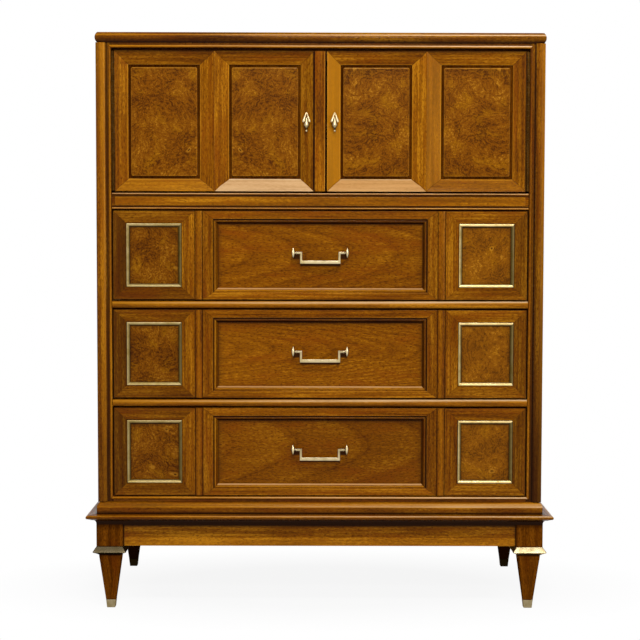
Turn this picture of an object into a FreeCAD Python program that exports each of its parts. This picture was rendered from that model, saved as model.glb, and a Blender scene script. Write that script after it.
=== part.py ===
import FreeCAD, Part
import os

# A highboy: a cupboard with two burl-panelled doors over three wide drawers, standing on a moulded
# base with four tapered legs. X runs across the front, Y from front to back, Z up.
# The origin is on the floor, in the middle of the width and of the whole depth.
# All sizes are in millimetres. A depth is measured backwards from the front of the corner posts.

V = FreeCAD.Vector
LEFT, RIGHT = -1, 1

# Driving sizes

# case
case_width = 966.0
case_depth = 470.0
side_thickness = 19.0
back_thickness = 6.0
top_thickness = 22.0
top_overhang = 1.5
top_nose_rise = 4.5
plinth_thickness = 25.5
plinth_overhang = 3.0
plinth_nose_rise = 9.0

# corner posts and the bead round the front opening
post_depth = 22.0
post_face_width = 20.0
post_crown = 3.0
quirk_width = 6.5
ledge_depth = 6.0
bead_width = 7.0
bead_rise = 3.5
foot_groove = 5.0
head_groove = 4.5
top_rail_depth = 18.0

# base
ferrule_height = 18.0
ferrule_foot = 18.0
ferrule_mouth = 21.5
ferrule_wall = 2.5
ferrule_floor = 3.0
taper_height = 102.5
taper_top = 48.0
collar_height = 18.5
collar_span = 72.5
collar_drop = 10.0
collar_lip = 2.5
collar_wall = 2.0
block_size = 57.0
block_height = 48.5
block_proud = 3.3
base_height = 24.0
base_reach = 20.5
base_nose_radius = 4.0
base_cove_radius = 8.0
base_slope = 3.5
base_wash = 1.5
base_board = 62.0
apron_thickness = 20.0
apron_setback = 9.5

# drawer fronts
drawer_count = 3
drawer_height = 191.5
drawer_side_gap = 2.0
lowest_drawer_gap = 2.0
rail_gap = 3.0
rail_height = 16.0
rail_proud = 1.0
drawer_face = 3.0
face_thickness = 9.0
front_thickness = 10.0
centre_width = 508.0
centre_side = 32.5
centre_head = 28.0
centre_foot = 25.5
quirk_line = 3.0
quirk_sink = 2.5
centre_bead = 4.0
centre_bead_rise = 1.8
centre_step = 4.0
centre_step_sink = 5.5
strip_width = 17.3
strip_crown = 2.5
brass_width = 119.0
brass_height = 137.0
brass_band = 6.5
brass_proud = 1.0
brass_slope = 3.0
drawer_burl_sink = 4.0

# drawer boxes and what carries them
box_thickness = 12.0
box_inset = 0.5
box_head_drop = 20.0
box_back_gap = 28.0
box_floor = 5.0
box_floor_rise = 9.0
running_gap = 0.3
guide_gap = 0.6
runner_width = 34.0
guide_height = 24.0
stop_block = 20.0
dust_thickness = 6.0

# drawer pulls
pull_span = 116.6
pull_rise = 5.5
post_radius = 3.0
post_head = 11.5
post_tail = 10.5
post_shoulder = 1.5
post_flank_radius = 1.95
post_reach = 18.0
stem_tip = 2.2
stem_foot = 4.0
pin_radius = 1.4
pin_gap = 0.05
pin_seat = 1.9
neck_radius = 2.1
neck_gap = 0.4
collar_disc_radius = 3.6
collar_disc_thickness = 1.2
stub_end = 51.0
bail_arm = 41.3
bail_bar = 4.8
grip_height = 7.2
grip_round = 1.5
bail_drop = 20.0

# doors
door_height = 300.0
door_foot_gap = 3.5
door_head_gap = 6.0
door_face = 2.0
hinge_gap = 7.0
meeting_gap = 3.0
astragal_width = 25.0
astragal_proud = 1.5
astragal_crown = 1.2
bevel_width = 29.0
mullion_bevel_width = 31.5
bevel_foot_width = 27.0
bevel_drop = 7.0
bevel_thickness = 10.0
slab_thickness = 12.0
burl_groove = 5.5
burl_thickness = 4.5
burl_corner = 4.0
burl_ease = 1.2

# rail under the doors
door_rail_height = 35.5
door_rail_depth = 21.0
door_rail_bead = 4.5
door_rail_bead_rise = 2.5
door_rail_quirk = 4.0
fascia_end = 10.0
fascia_rise = 2.0

# piano hinges
knuckle_count = 24
knuckle_gap = 0.2
barrel_radius = 2.2
leaf_thickness = 1.0
leaf_width = 17.0
hinge_axis_depth = 4.5
hinge_end_gap = 1.0
hinge_pin_radius = 1.1
hinge_pin_gap = 0.05

# door knobs
knob_inset = 16.3
knob_height = 147.0
knob_reach = 11.0
knob_tip = 22.5
wing_half = 9.2
wing_foot = 1.5
blade_width = 3.6
blade_tip = 1.2
blade_inner_foot = 0.75
blade_notch = 9.5
blade_thickness = 4.0
bud_head = 12.0
bud_radius = 6.0
bud_low = 4.5
bud_tail = 12.5
bud_upper_radius = 3.6
bud_lower_radius = 4.2
knob_neck_radius = 1.6
knob_ball_radius = 2.4
knob_ball_drop = 17.5
knob_stem_radius = 3.0

# cupboard
stop_height = 35.0
stop_depth = 18.0
stop_gap = 2.0
cupboard_floor_thickness = 16.0
cupboard_floor_step = 2.5
shelf_thickness = 18.0
shelf_setback = 34.0
shelf_height = 146.0
cleat_size = 12.0
catch_length = 40.0
catch_height = 14.0
catch_depth = 14.0
catch_place = 60.0
strike_thickness = 1.2
catch_gap = 0.3

# Heights, from the floor up
taper_foot = ferrule_height
collar_foot = taper_foot + taper_height
block_foot = collar_foot + collar_height
base_foot = block_foot + block_height
plinth_foot = base_foot + base_height
case_foot = plinth_foot + plinth_thickness
bead_foot = case_foot + foot_groove
opening_foot = bead_foot + bead_width
lowest_drawer_foot = opening_foot + lowest_drawer_gap
drawer_pitch = drawer_height + rail_height + 2 * rail_gap
drawer_feet = [lowest_drawer_foot + i * drawer_pitch for i in reversed(range(drawer_count))]
rail_feet = [foot - rail_gap - rail_height for foot in drawer_feet[:-1]]
door_rail_foot = drawer_feet[0] + drawer_height + rail_gap
door_rail_head = door_rail_foot + door_rail_height
door_foot = door_rail_head + door_foot_gap
door_head = door_foot + door_height
opening_head = door_head + door_head_gap
bead_head = opening_head + bead_width
case_head = bead_head + head_groove
floor_head = door_rail_head - cupboard_floor_step
stop_foot = case_head - stop_height

# Places across the width
case_half = case_width / 2
inner_half = case_half - side_thickness
bead_half = case_half - post_face_width - quirk_width
opening_half = bead_half - bead_width
base_half = case_half + block_proud
leg_x = base_half - block_size / 2
front_half = opening_half - drawer_side_gap
box_half = front_half - box_inset
door_outer = opening_half - hinge_gap
door_inner = (astragal_width + meeting_gap) / 2
hinge_axis_x = opening_half - hinge_gap / 2

# Depths, backwards from the front of the corner posts
panel_depth = case_depth - back_thickness
slab_front = door_face + bevel_thickness
slab_back = slab_front + slab_thickness
board_front = drawer_face + face_thickness
board_back = board_front + front_thickness
box_back = panel_depth - box_back_gap
pivot_depth = board_front - post_reach

# The frame's Y of the front and of the legs
collar_overhang = (collar_span - block_size) / 2
overall_depth = base_reach + block_proud + case_depth + collar_overhang
case_front = base_reach + block_proud - overall_depth / 2
leg_front_y = case_front - block_proud + block_size / 2
leg_rear_y = case_front + case_depth - block_size / 2


def at_depth(depth):
    """The Y of a place that lies this far behind the front of the corner posts."""
    return case_front + depth


def block(x0, x1, d0, d1, z0, z1):
    """A rectangular solid between two X values in either order, two depths and two heights."""
    return Part.makeBox(abs(x1 - x0), d1 - d0, z1 - z0, V(min(x0, x1), at_depth(d0), z0))


def outline(place, start, *steps):
    """A face in the plane that place(u, v) spans. A step is a point, or (point on an arc, its end)."""
    edges = []
    here = start
    for step in steps + (start,):
        on_arc, there = step if isinstance(step[0], tuple) else (None, step)
        if on_arc:
            edges.append(Part.Arc(place(*here), place(*on_arc), place(*there)).toShape())
        elif there != here:
            edges.append(Part.LineSegment(place(*here), place(*there)).toShape())
        here = there
    return Part.Face(Part.Wire(edges))


def outward(solid):
    """The same solid with its faces pointing out."""
    return solid if solid.Volume > 0 else solid.reversed()


def prism(face, x=0, y=0, z=0):
    return outward(face.extrude(V(x, y, z)))


def turned(face, centre, axis):
    return outward(face.revolve(centre, axis, 360))


def joined(*solids):
    whole = solids[0]
    for solid in solids[1:]:
        whole = whole.fuse(solid)
    return whole.removeSplitter()


def square_column(x, y, stations):
    """A column of square section; stations are (height, width) from the bottom up."""
    def square(z, width):
        h = width / 2
        corners = [V(x - h, y - h, z), V(x + h, y - h, z), V(x + h, y + h, z), V(x - h, y + h, z)]
        return Part.makePolygon(corners + corners[:1])
    return joined(*[
        Part.makeLoft([square(*low), square(*high)], True, True)
        for low, high in zip(stations, stations[1:])
    ])


def mitred_frame(x0, x1, z0, z1, widths, section):
    """The left, right, bottom and top members of a mitred frame that faces the front.

    widths are those of the four members. section(place, width) is the face of a member's
    cross-section: u runs from its outer edge inwards, v is a depth.
    """
    left, right, bottom, top = widths
    bars = [
        prism(section(lambda u, v: V(x0 + u, at_depth(v), z0), left), z=z1 - z0),
        prism(section(lambda u, v: V(x1 - u, at_depth(v), z0), right), z=z1 - z0),
        prism(section(lambda u, v: V(x0, at_depth(v), z0 + u), bottom), x=x1 - x0),
        prism(section(lambda u, v: V(x0, at_depth(v), z1 - u), top), x=x1 - x0),
    ]
    low_left, low_right = (x0 + left, z0 + bottom), (x1 - right, z0 + bottom)
    high_left, high_right = (x0 + left, z1 - top), (x1 - right, z1 - top)
    fields = [
        ((x0, z0), low_left, high_left, (x0, z1)),
        ((x1, z0), low_right, high_right, (x1, z1)),
        ((x0, z0), (x1, z0), low_right, low_left),
        ((x0, z1), (x1, z1), high_right, high_left),
    ]
    members = []
    for bar, field in zip(bars, fields):
        cutter = prism(outline(lambda u, v: V(u, -overall_depth, v), *field), y=2 * overall_depth)
        members.append(bar.common(cutter).Solids[0])
    return members


def save(name, *shapes):
    """Writes one sub-part, made of one solid or of several separate ones."""
    solids = [solid for shape in shapes for solid in shape.Solids]
    for solid in solids:
        if not solid.isValid() or solid.Volume <= 0:
            raise ValueError(name + " has a bad solid")
    whole = solids[0] if len(solids) == 1 else Part.makeCompound(solids)
    whole.exportStep("parts/" + name + ".step")


# Top, bottom, posts, sides and back
def nosed_board(overhang, foot, thickness, rise):
    """A board as deep as the case, with a rounded edge along its front and both ends."""
    half = case_half + overhang
    nose, back = at_depth(-overhang), at_depth(case_depth)
    middle = foot + thickness / 2
    head = foot + thickness
    across = outline(
        lambda u, v: V(u, nose, v),
        (-half + rise, foot), (half - rise, foot), ((half, middle), (half - rise, head)),
        (-half + rise, head), ((-half, middle), (-half + rise, foot)),
    )
    along = outline(
        lambda u, v: V(-half, u, v),
        (back, foot), (back, head), (nose + rise, head), ((nose, middle), (nose + rise, foot)),
    )
    return prism(across, y=back - nose).common(prism(along, x=2 * half))


def make_top_and_plinth():
    save("top_board", nosed_board(top_overhang, case_head, top_thickness, top_nose_rise))
    save("plinth_board", nosed_board(plinth_overhang, plinth_foot, plinth_thickness, plinth_nose_rise))


def make_sides_and_back():
    for side, name in ((LEFT, "side_panel_left"), (RIGHT, "side_panel_right")):
        save(name, block(side * inner_half, side * case_half, post_depth, case_depth,
                         case_foot, case_head))
    save("back_panel", block(-inner_half, inner_half, panel_depth, case_depth, case_foot, case_head))


def make_corner_posts():
    """Each post has a convex face, then a ledge that carries the bead round the opening."""
    crown_edge = case_half - post_face_width
    for side, name in ((LEFT, "corner_post_left"), (RIGHT, "corner_post_right")):
        profile = outline(
            lambda u, v: V(side * u, at_depth(v), case_foot),
            (case_half, post_depth), (case_half, post_crown),
            ((case_half - post_face_width / 2, 0), (crown_edge, post_crown)),
            (crown_edge, ledge_depth), (opening_half, ledge_depth), (opening_half, post_depth),
        )
        save(name, prism(profile, z=case_head - case_foot))


def make_opening_bead():
    def half_round(place, width):
        return outline(place, (0, ledge_depth), (width, ledge_depth),
                       ((width / 2, ledge_depth - bead_rise), (0, ledge_depth)))
    save("opening_bead", *mitred_frame(-bead_half, bead_half, bead_foot, bead_head,
                                       [bead_width] * 4, half_round))


def make_front_rails():
    """The rails behind the top and bottom beads, and the half-round rails between the drawers."""
    half = opening_half
    save("front_rails",
         block(-half, half, ledge_depth, ledge_depth + top_rail_depth, opening_head, case_head),
         block(-half, half, ledge_depth, post_depth, case_foot, opening_foot))
    radius = rail_height / 2
    rails = []
    for foot in rail_feet:
        profile = outline(
            lambda u, v: V(-half, at_depth(u), foot + v),
            (post_depth, 0), (post_depth, rail_height), (radius - rail_proud, rail_height),
            ((-rail_proud, radius), (radius - rail_proud, 0)),
        )
        rails.append(prism(profile, x=2 * half))
    save("drawer_rails", *rails)


def make_door_rail():
    """The rail under the doors: a board with a small bead along both edges and a flat fascia."""
    half = opening_half
    back = ledge_depth + door_rail_depth
    rail = block(-half, half, ledge_depth, back, door_rail_foot, door_rail_head)
    for foot in (door_rail_foot, door_rail_head - door_rail_bead):
        profile = outline(
            lambda u, v: V(-half, at_depth(u), foot + v),
            (ledge_depth, 0), (ledge_depth, door_rail_bead),
            ((ledge_depth - door_rail_bead_rise, door_rail_bead / 2), (ledge_depth, 0)),
        )
        rail = joined(rail, prism(profile, x=2 * half))
    edge = door_rail_bead + door_rail_quirk
    fascia = block(-half + fascia_end, half - fascia_end, ledge_depth - fascia_rise, ledge_depth,
                   door_rail_foot + edge, door_rail_head - edge)
    save("door_rail", rail, fascia)


# Cupboard behind the doors
def make_cupboard():
    save("cupboard_floor", block(-inner_half, inner_half, ledge_depth + door_rail_depth, panel_depth,
                                 floor_head - cupboard_floor_thickness, floor_head))
    shelf_foot = floor_head + shelf_height
    front = slab_back + shelf_setback
    save("cupboard_shelf", block(-inner_half, inner_half, front, panel_depth,
                                 shelf_foot, shelf_foot + shelf_thickness))
    save("shelf_cleats", *[
        block(side * inner_half, side * (inner_half - cleat_size), front, panel_depth,
              shelf_foot - cleat_size, shelf_foot)
        for side in (LEFT, RIGHT)
    ])
    stop_front = slab_back + stop_gap
    save("door_stop", block(-inner_half, inner_half, stop_front, stop_front + stop_depth,
                            stop_foot, case_head))


def make_catches():
    """Magnetic catches under the door stop, and the strike plates that they pull on."""
    catches = []
    catch_front = slab_back + strike_thickness + catch_gap
    for side, name in ((LEFT, "door_left"), (RIGHT, "door_right")):
        x = side * (door_inner + catch_place)
        low, high = x - catch_length / 2, x + catch_length / 2
        foot = stop_foot - catch_height
        catches.append(block(low, high, catch_front, catch_front + catch_depth, foot, stop_foot))
        save(name + "_strike", block(low, high, slab_back, slab_back + strike_thickness,
                                     foot, stop_foot))
    save("door_catches", *catches)


# What carries the drawers
def bays():
    """For each drawer, from the top down: the underside and the top of its runners."""
    upper = [(foot + dust_thickness, foot + rail_height) for foot in rail_feet]
    return upper + [(case_foot, opening_foot)]


def make_drawer_bearers():
    """Dust panels, runners under the boxes, guides beside them and stop blocks behind them."""
    runners = []
    guides = []
    guide_inner = box_half + guide_gap
    for foot, head in bays():
        for side in (LEFT, RIGHT):
            runners.append(block(side * inner_half, side * (inner_half - runner_width),
                                 post_depth, panel_depth, foot, head))
            guides.append(block(side * inner_half, side * guide_inner, post_depth, panel_depth,
                                head, head + guide_height))
            guides.append(block(side * guide_inner, side * (guide_inner - stop_block),
                                box_back, panel_depth, head, head + guide_height))
    save("dust_panels", *[
        block(-inner_half, inner_half, post_depth, panel_depth, foot, foot + dust_thickness)
        for foot in rail_feet
    ])
    save("drawer_runners", *runners)
    save("drawer_guides", *guides)


# Base
def base_section(place):
    """The moulding's section: u outwards from the leg blocks' faces, v up from the frieze."""
    nose_middle = base_height - base_wash - base_nose_radius
    nose_foot = nose_middle - base_nose_radius
    cove_head = nose_foot - base_slope
    cove_foot = cove_head - base_cove_radius
    cove_mid = base_cove_radius * (1 - 0.5 ** 0.5)
    nose_start = base_reach - base_nose_radius
    return outline(
        place,
        (-base_board, 0), (0, 0), (0, cove_foot),
        ((cove_mid, cove_head - cove_mid), (base_cove_radius, cove_head)),
        (nose_start, nose_foot), ((base_reach, nose_middle), (nose_start, nose_middle + base_nose_radius)),
        (0, base_height), (-base_board, base_height),
    )


def make_base_moulding():
    """Front, left, right and rear pieces of the moulded frame that carries the case."""
    front = case_front - block_proud
    rear = at_depth(case_depth)
    past = base_reach + base_nose_radius
    inner = base_half - base_board
    bar = prism(base_section(lambda u, v: V(-base_half - past, front - u, base_foot + v)),
                x=2 * (base_half + past))
    wedge = prism(outline(
        lambda u, v: V(u, v, 0),
        (-base_half - past, front - past), (base_half + past, front - past),
        (inner, front + base_board), (-inner, front + base_board),
    ), z=case_head)
    pieces = [bar.common(wedge)]
    for side in (LEFT, RIGHT):
        bar = prism(base_section(lambda u, v: V(side * (base_half + u), front - past, base_foot + v)),
                    y=rear - front + past)
        pieces.append(bar.cut(wedge))
    pieces.append(block(-inner, inner, case_depth - base_board, case_depth, base_foot, plinth_foot))
    save("base_moulding", *pieces)


def make_aprons():
    leg_inner = base_half - block_size
    front = apron_setback - block_proud
    rear = case_depth - apron_setback
    outer = base_half - apron_setback
    aprons = [
        block(-leg_inner, leg_inner, front, front + apron_thickness, block_foot, base_foot),
        block(-leg_inner, leg_inner, rear - apron_thickness, rear, block_foot, base_foot),
    ]
    for side in (LEFT, RIGHT):
        aprons.append(block(side * outer, side * (outer - apron_thickness), block_size - block_proud,
                            case_depth - block_size, block_foot, base_foot))
    save("aprons", *aprons)


def make_legs():
    """Four legs: a square block, a neck inside the collar, a taper, and a tenon in the ferrule."""
    neck = taper_top - 2 * collar_wall
    tenon = ferrule_foot - 2 * ferrule_wall
    crest = block_foot - collar_drop
    legs = []
    collars = []
    ferrules = []
    for y in (leg_front_y, leg_rear_y):
        for side in (LEFT, RIGHT):
            x = side * leg_x
            necking = square_column(x, y, [(collar_foot, neck), (block_foot, neck)])
            tip = square_column(x, y, [(ferrule_floor, tenon), (taper_foot, tenon)])
            legs.append(joined(
                square_column(x, y, [(block_foot, block_size), (base_foot, block_size)]), necking,
                square_column(x, y, [(taper_foot, ferrule_mouth), (collar_foot, taper_top)]), tip,
            ))
            flare = square_column(x, y, [
                (collar_foot, taper_top), (crest - collar_lip, collar_span), (crest, collar_span),
                (block_foot, block_size),
            ])
            collars.append(flare.cut(necking))
            cup = square_column(x, y, [(0, ferrule_foot), (ferrule_height, ferrule_mouth)])
            ferrules.append(cup.cut(tip))
    save("legs", *legs)
    save("leg_collars", *collars)
    save("leg_ferrules", *ferrules)


# Drawers
def flat_section(place, width):
    return outline(place, (0, drawer_face), (width, drawer_face), (width, board_front),
                   (0, board_front))


def brass_section(place, width):
    crest = drawer_face - brass_proud
    return outline(place, (0, crest), (width, crest + brass_slope), (width, board_front),
                   (0, board_front))


def centre_section(place, width):
    """A flat face, a quirk, a bead and a step down to the sunk field."""
    step = width - centre_step
    bead = step - centre_bead
    flat = bead - quirk_line
    sunk = drawer_face + quirk_sink
    return outline(
        place, (0, board_front), (0, drawer_face), (flat, drawer_face), (flat, sunk), (bead, sunk),
        ((bead + centre_bead / 2, sunk - centre_bead_rise), (step, sunk)),
        (step, drawer_face + centre_step_sink), (width, drawer_face + centre_step_sink),
        (width, board_front),
    )


def make_drawer_front(name, foot):
    """A board faced with a middle frame, two half-round strips and two end panels."""
    head = foot + drawer_height
    half = centre_width / 2
    end_width = front_half - half - strip_width
    margin_x = (end_width - brass_width) / 2
    margin_z = (drawer_height - brass_height) / 2
    frames = mitred_frame(-half, half, foot, head, (centre_side, centre_side, centre_foot, centre_head),
                          centre_section)
    brass = []
    burl = []
    for side in (LEFT, RIGHT):
        strip = outline(
            lambda u, v: V(side * (half + u), at_depth(v), foot),
            (0, board_front), (0, drawer_face),
            ((strip_width / 2, drawer_face - strip_crown), (strip_width, drawer_face)),
            (strip_width, board_front),
        )
        frames.append(prism(strip, z=drawer_height))
        x0, x1 = sorted((side * front_half, side * (front_half - end_width)))
        frames += mitred_frame(x0, x1, foot, head, (margin_x, margin_x, margin_z, margin_z),
                               flat_section)
        brass += mitred_frame(x0 + margin_x, x1 - margin_x, foot + margin_z, head - margin_z,
                              [brass_band] * 4, brass_section)
        edge_x, edge_z = margin_x + brass_band, margin_z + brass_band
        burl.append(block(x0 + edge_x, x1 - edge_x, drawer_face + drawer_burl_sink, board_front,
                          foot + edge_z, head - edge_z))
    save(name + "_front_board", block(-front_half, front_half, board_front, board_back, foot, head))
    save(name + "_face_frames", *frames)
    save(name + "_brass_frames", *brass)
    save(name + "_burl_panels", *burl)


def make_drawer_box(name, runner_head):
    """Two sides and a back, with the bottom held between them."""
    foot = runner_head + running_gap
    head = foot + drawer_height - box_head_drop
    inner = box_half - box_thickness
    floor_foot = foot + box_floor_rise
    floor_head = floor_foot + box_floor
    sides = [
        block(side * box_half, side * inner, board_back, box_back, foot, head)
        for side in (LEFT, RIGHT)
    ]
    rear = block(-inner, inner, box_back - box_thickness, box_back, floor_head, head)
    floor = block(-inner, inner, board_back, box_back, floor_foot, floor_head)
    save(name + "_box", *sides, rear, floor)


def pull_post(side, z):
    """A pointed spindle on a stem that flares at the wood, bored for the bail's pin."""
    x = side * pull_span / 2
    axis_y = at_depth(pivot_depth)
    spindle = turned(outline(
        lambda u, v: V(x + u, axis_y, z + v),
        (0, -post_tail), ((post_flank_radius, -post_tail / 2), (post_radius, post_shoulder)),
        ((post_flank_radius, (post_head + post_shoulder) / 2), (0, post_head)),
    ), V(x, axis_y, z), V(0, 0, 1))
    stem = Part.makeCone(stem_tip, stem_foot, post_reach, V(x, axis_y, z), V(0, 1, 0))
    inner_face = side * (pull_span / 2 - post_radius)
    bore = Part.makeCylinder(pin_radius + pin_gap, pin_seat + pin_gap, V(inner_face, axis_y, z),
                             V(side, 0, 0))
    return joined(spindle, stem).cut(bore)


def make_bail(name, z):
    """Square stubs on round pins, two arms and a deeper grip, all in one piece."""
    half = bail_bar / 2
    grip_z = z - bail_drop
    seat = pull_span / 2 - post_radius
    d0, d1 = pivot_depth - half, pivot_depth + half
    grip = block(-bail_arm - half, bail_arm + half, d0, d1, grip_z - grip_height / 2,
                 grip_z + grip_height / 2)
    pieces = [grip.makeFillet(grip_round, [e for e in grip.Edges if e.BoundBox.XLength > bail_arm])]
    for side in (LEFT, RIGHT):
        pieces.append(block(side * (bail_arm - half), side * (bail_arm + half), d0, d1, grip_z, z + half))
        pieces.append(block(side * bail_arm, side * stub_end, d0, d1, z - half, z + half))
        for radius, reach in (
            (collar_disc_radius, stub_end + collar_disc_thickness),
            (neck_radius, seat - neck_gap),
            (pin_radius, seat + pin_seat),
        ):
            pieces.append(Part.makeCylinder(radius, reach - bail_arm,
                                            V(side * bail_arm, at_depth(pivot_depth), z), V(side, 0, 0)))
    save(name + "_bail", joined(*pieces))


def make_drawers():
    for number, (foot, (_, runner_head)) in enumerate(zip(drawer_feet, bays()), start=1):
        name = "drawer_%d" % number
        pivot_z = foot + drawer_height / 2 + pull_rise
        make_drawer_front(name, foot)
        make_drawer_box(name, runner_head)
        save(name + "_pull_posts", pull_post(LEFT, pivot_z), pull_post(RIGHT, pivot_z))
        make_bail(name, pivot_z)


# Doors
def bevel_section(place, width):
    return outline(place, (0, slab_front), (0, door_face), (width, door_face + bevel_drop),
                   (width, slab_front))


def burl_panel(x0, x1):
    """A raised panel with rounded corners and eased edges, between two X values."""
    front = slab_front - burl_thickness
    panel = block(x0, x1, front, slab_front, door_foot + bevel_foot_width + burl_groove,
                  door_head - bevel_width - burl_groove)
    corners = [e for e in panel.Edges if e.BoundBox.YLength > burl_thickness / 2]
    panel = panel.makeFillet(burl_corner, corners)
    rim = [e for e in panel.Edges if e.BoundBox.YMax < at_depth(front + burl_ease)]
    return panel.makeFillet(burl_ease, rim)


def make_door(side, name):
    """A slab with two bevelled frames that share a ridged mullion, and two raised burl panels."""
    x0, x1 = sorted((side * door_outer, side * door_inner))
    middle = (x0 + x1) / 2
    members = []
    mullion = []
    burl = []
    frames = ((x0, middle, bevel_width, mullion_bevel_width),
              (middle, x1, mullion_bevel_width, bevel_width))
    for low, high, left_width, right_width in frames:
        widths = (left_width, right_width, bevel_foot_width, bevel_width)
        left, right, bottom, top = mitred_frame(low, high, door_foot, door_head, widths, bevel_section)
        outer, inner = (left, right) if low == x0 else (right, left)
        members += [outer, bottom, top]
        mullion.append(inner)
        burl.append(burl_panel(low + left_width + burl_groove, high - right_width - burl_groove))
    save(name + "_slab", block(x0, x1, slab_front, slab_back, door_foot, door_head))
    save(name + "_bevel_frame", *members, joined(*mullion))
    save(name + "_burl_panels", *burl)


def make_astragal():
    """The slightly rounded strip on the left door's meeting edge."""
    front = door_face - astragal_proud
    profile = outline(
        lambda u, v: V(-door_inner + u, at_depth(v), door_foot),
        (0, slab_back), (0, front + astragal_crown),
        ((astragal_width / 2, front), (astragal_width, front + astragal_crown)),
        (astragal_width, slab_back),
    )
    save("door_left_astragal", prism(profile, z=door_height))


def hinge_leaf(side, owner):
    """One leaf of a piano hinge with every other knuckle: owner 0 is the case, 1 is the door."""
    axis_x = side * hinge_axis_x
    outwards = side if owner == 0 else -side
    seat = axis_x + outwards * hinge_gap / 2
    foot = door_foot + hinge_end_gap
    length = door_height - 2 * hinge_end_gap
    pitch = length / knuckle_count
    axis_y = at_depth(hinge_axis_depth)
    leaf = block(seat, seat - outwards * leaf_thickness, hinge_axis_depth,
                 hinge_axis_depth + leaf_width, foot, foot + length)
    pieces = [leaf]
    for i in range(owner, knuckle_count, 2):
        low = foot + i * pitch + knuckle_gap / 2
        high = foot + (i + 1) * pitch - knuckle_gap / 2
        barrel = Part.makeCylinder(barrel_radius, high - low, V(axis_x, axis_y, low))
        web = block(seat, axis_x, hinge_axis_depth, hinge_axis_depth + leaf_thickness, low, high)
        pieces.append(barrel.fuse(web))
    bore = Part.makeCylinder(hinge_pin_radius + hinge_pin_gap, length, V(axis_x, axis_y, foot))
    return joined(*pieces).cut(bore)


def make_hinges():
    save("hinge_case_leaves", hinge_leaf(LEFT, 0), hinge_leaf(RIGHT, 0))
    save("door_left_hinge_leaf", hinge_leaf(LEFT, 1))
    save("door_right_hinge_leaf", hinge_leaf(RIGHT, 1))
    save("hinge_pins", *[
        Part.makeCylinder(hinge_pin_radius, door_height - 2 * hinge_end_gap,
                          V(side * hinge_axis_x, at_depth(hinge_axis_depth), door_foot + hinge_end_gap))
        for side in (LEFT, RIGHT)
    ])


def make_knob(side, name):
    """An arrowhead over a bud, with a small ball below and a stem fitted to the bevelled stile."""
    x = side * (door_inner + knob_inset)
    z = door_foot + knob_height
    middle = door_face + bevel_drop * knob_inset / bevel_width - knob_reach
    y = at_depth(middle)
    wing_inner = wing_half - blade_width
    arrow = outline(
        lambda u, v: V(x + u, y - blade_thickness / 2, z + v),
        (0, knob_tip), (wing_half, wing_foot), (wing_half - blade_tip, -wing_foot),
        (wing_inner, -blade_inner_foot), (0, knob_tip - blade_notch), (-wing_inner, -blade_inner_foot),
        (blade_tip - wing_half, -wing_foot), (-wing_half, wing_foot),
    )
    bud = outline(
        lambda u, v: V(x + u, y, z + v),
        (0, bud_head), ((bud_upper_radius, bud_head / 2), (bud_radius, -bud_low)),
        ((bud_lower_radius, (-bud_low - bud_tail) / 2), (knob_neck_radius, -bud_tail)),
        (knob_neck_radius, -knob_ball_drop), (0, -knob_ball_drop),
    )
    stile = prism(bevel_section(lambda u, v: V(side * (door_inner + u), at_depth(v), door_foot),
                                bevel_width), z=door_height)
    stem = Part.makeCylinder(knob_stem_radius, slab_front - middle, V(x, y, z - bud_low), V(0, 1, 0))
    save(name + "_knob", joined(
        prism(arrow, y=blade_thickness),
        turned(bud, V(x, y, z), V(0, 0, 1)),
        Part.makeSphere(knob_ball_radius, V(x, y, z - knob_ball_drop)),
        stem.cut(stile),
    ))


def make_doors():
    for side, name in ((LEFT, "door_left"), (RIGHT, "door_right")):
        make_door(side, name)
        make_knob(side, name)
    make_astragal()
    make_hinges()


def main():
    os.makedirs("parts", exist_ok=True)
    make_top_and_plinth()
    make_sides_and_back()
    make_corner_posts()
    make_opening_bead()
    make_front_rails()
    make_door_rail()
    make_cupboard()
    make_catches()
    make_drawer_bearers()
    make_base_moulding()
    make_aprons()
    make_legs()
    make_drawers()
    make_doors()


main()
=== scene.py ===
# %% [markdown]
# # Dressing a highboy
#
# The highboy is a cupboard over three wide drawers, veneered in warm lacquered walnut, with burl
# panels, thin brass frames and cast brass pulls. Its measured model is already made, so this
# lesson only gives it its looks: softer edges, grain that runs along each board, mitre lines,
# the dark glaze and painted shade in every groove, painted highlights on crests and edges, and
# metal that shines.
#
# The measured model is loaded first. Its pieces never move. A plain piece may keep its shape and
# only get a finish, and a piece that needs finer edges gets a new surface that stands for it.

# %% Load the measured highboy
import math

import bmesh
import bpy
import numpy as np
from mathutils import Matrix, Vector


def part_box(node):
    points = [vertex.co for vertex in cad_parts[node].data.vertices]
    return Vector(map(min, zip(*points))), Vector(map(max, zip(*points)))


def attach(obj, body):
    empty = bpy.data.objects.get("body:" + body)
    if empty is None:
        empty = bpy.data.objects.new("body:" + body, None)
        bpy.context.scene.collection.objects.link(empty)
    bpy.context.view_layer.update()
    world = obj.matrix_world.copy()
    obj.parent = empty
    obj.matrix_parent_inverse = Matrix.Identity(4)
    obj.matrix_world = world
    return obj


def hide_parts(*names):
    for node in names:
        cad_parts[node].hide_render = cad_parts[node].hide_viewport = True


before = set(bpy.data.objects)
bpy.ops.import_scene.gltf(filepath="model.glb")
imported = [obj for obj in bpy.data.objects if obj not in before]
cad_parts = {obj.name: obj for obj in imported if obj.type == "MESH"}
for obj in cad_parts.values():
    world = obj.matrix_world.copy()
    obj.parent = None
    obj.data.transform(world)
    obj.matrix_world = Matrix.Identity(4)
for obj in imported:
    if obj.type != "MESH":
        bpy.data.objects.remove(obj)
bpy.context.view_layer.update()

mm = 0.001

# %% [markdown]
# ## Camera
#
# The photograph looks straight at the front from about the height of the upper drawers, with a
# long lens from three and a half metres, so the top isn't seen and the sides are hidden. The
# camera's direction is written as three small turns: down, towards the right, and a roll.

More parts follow.
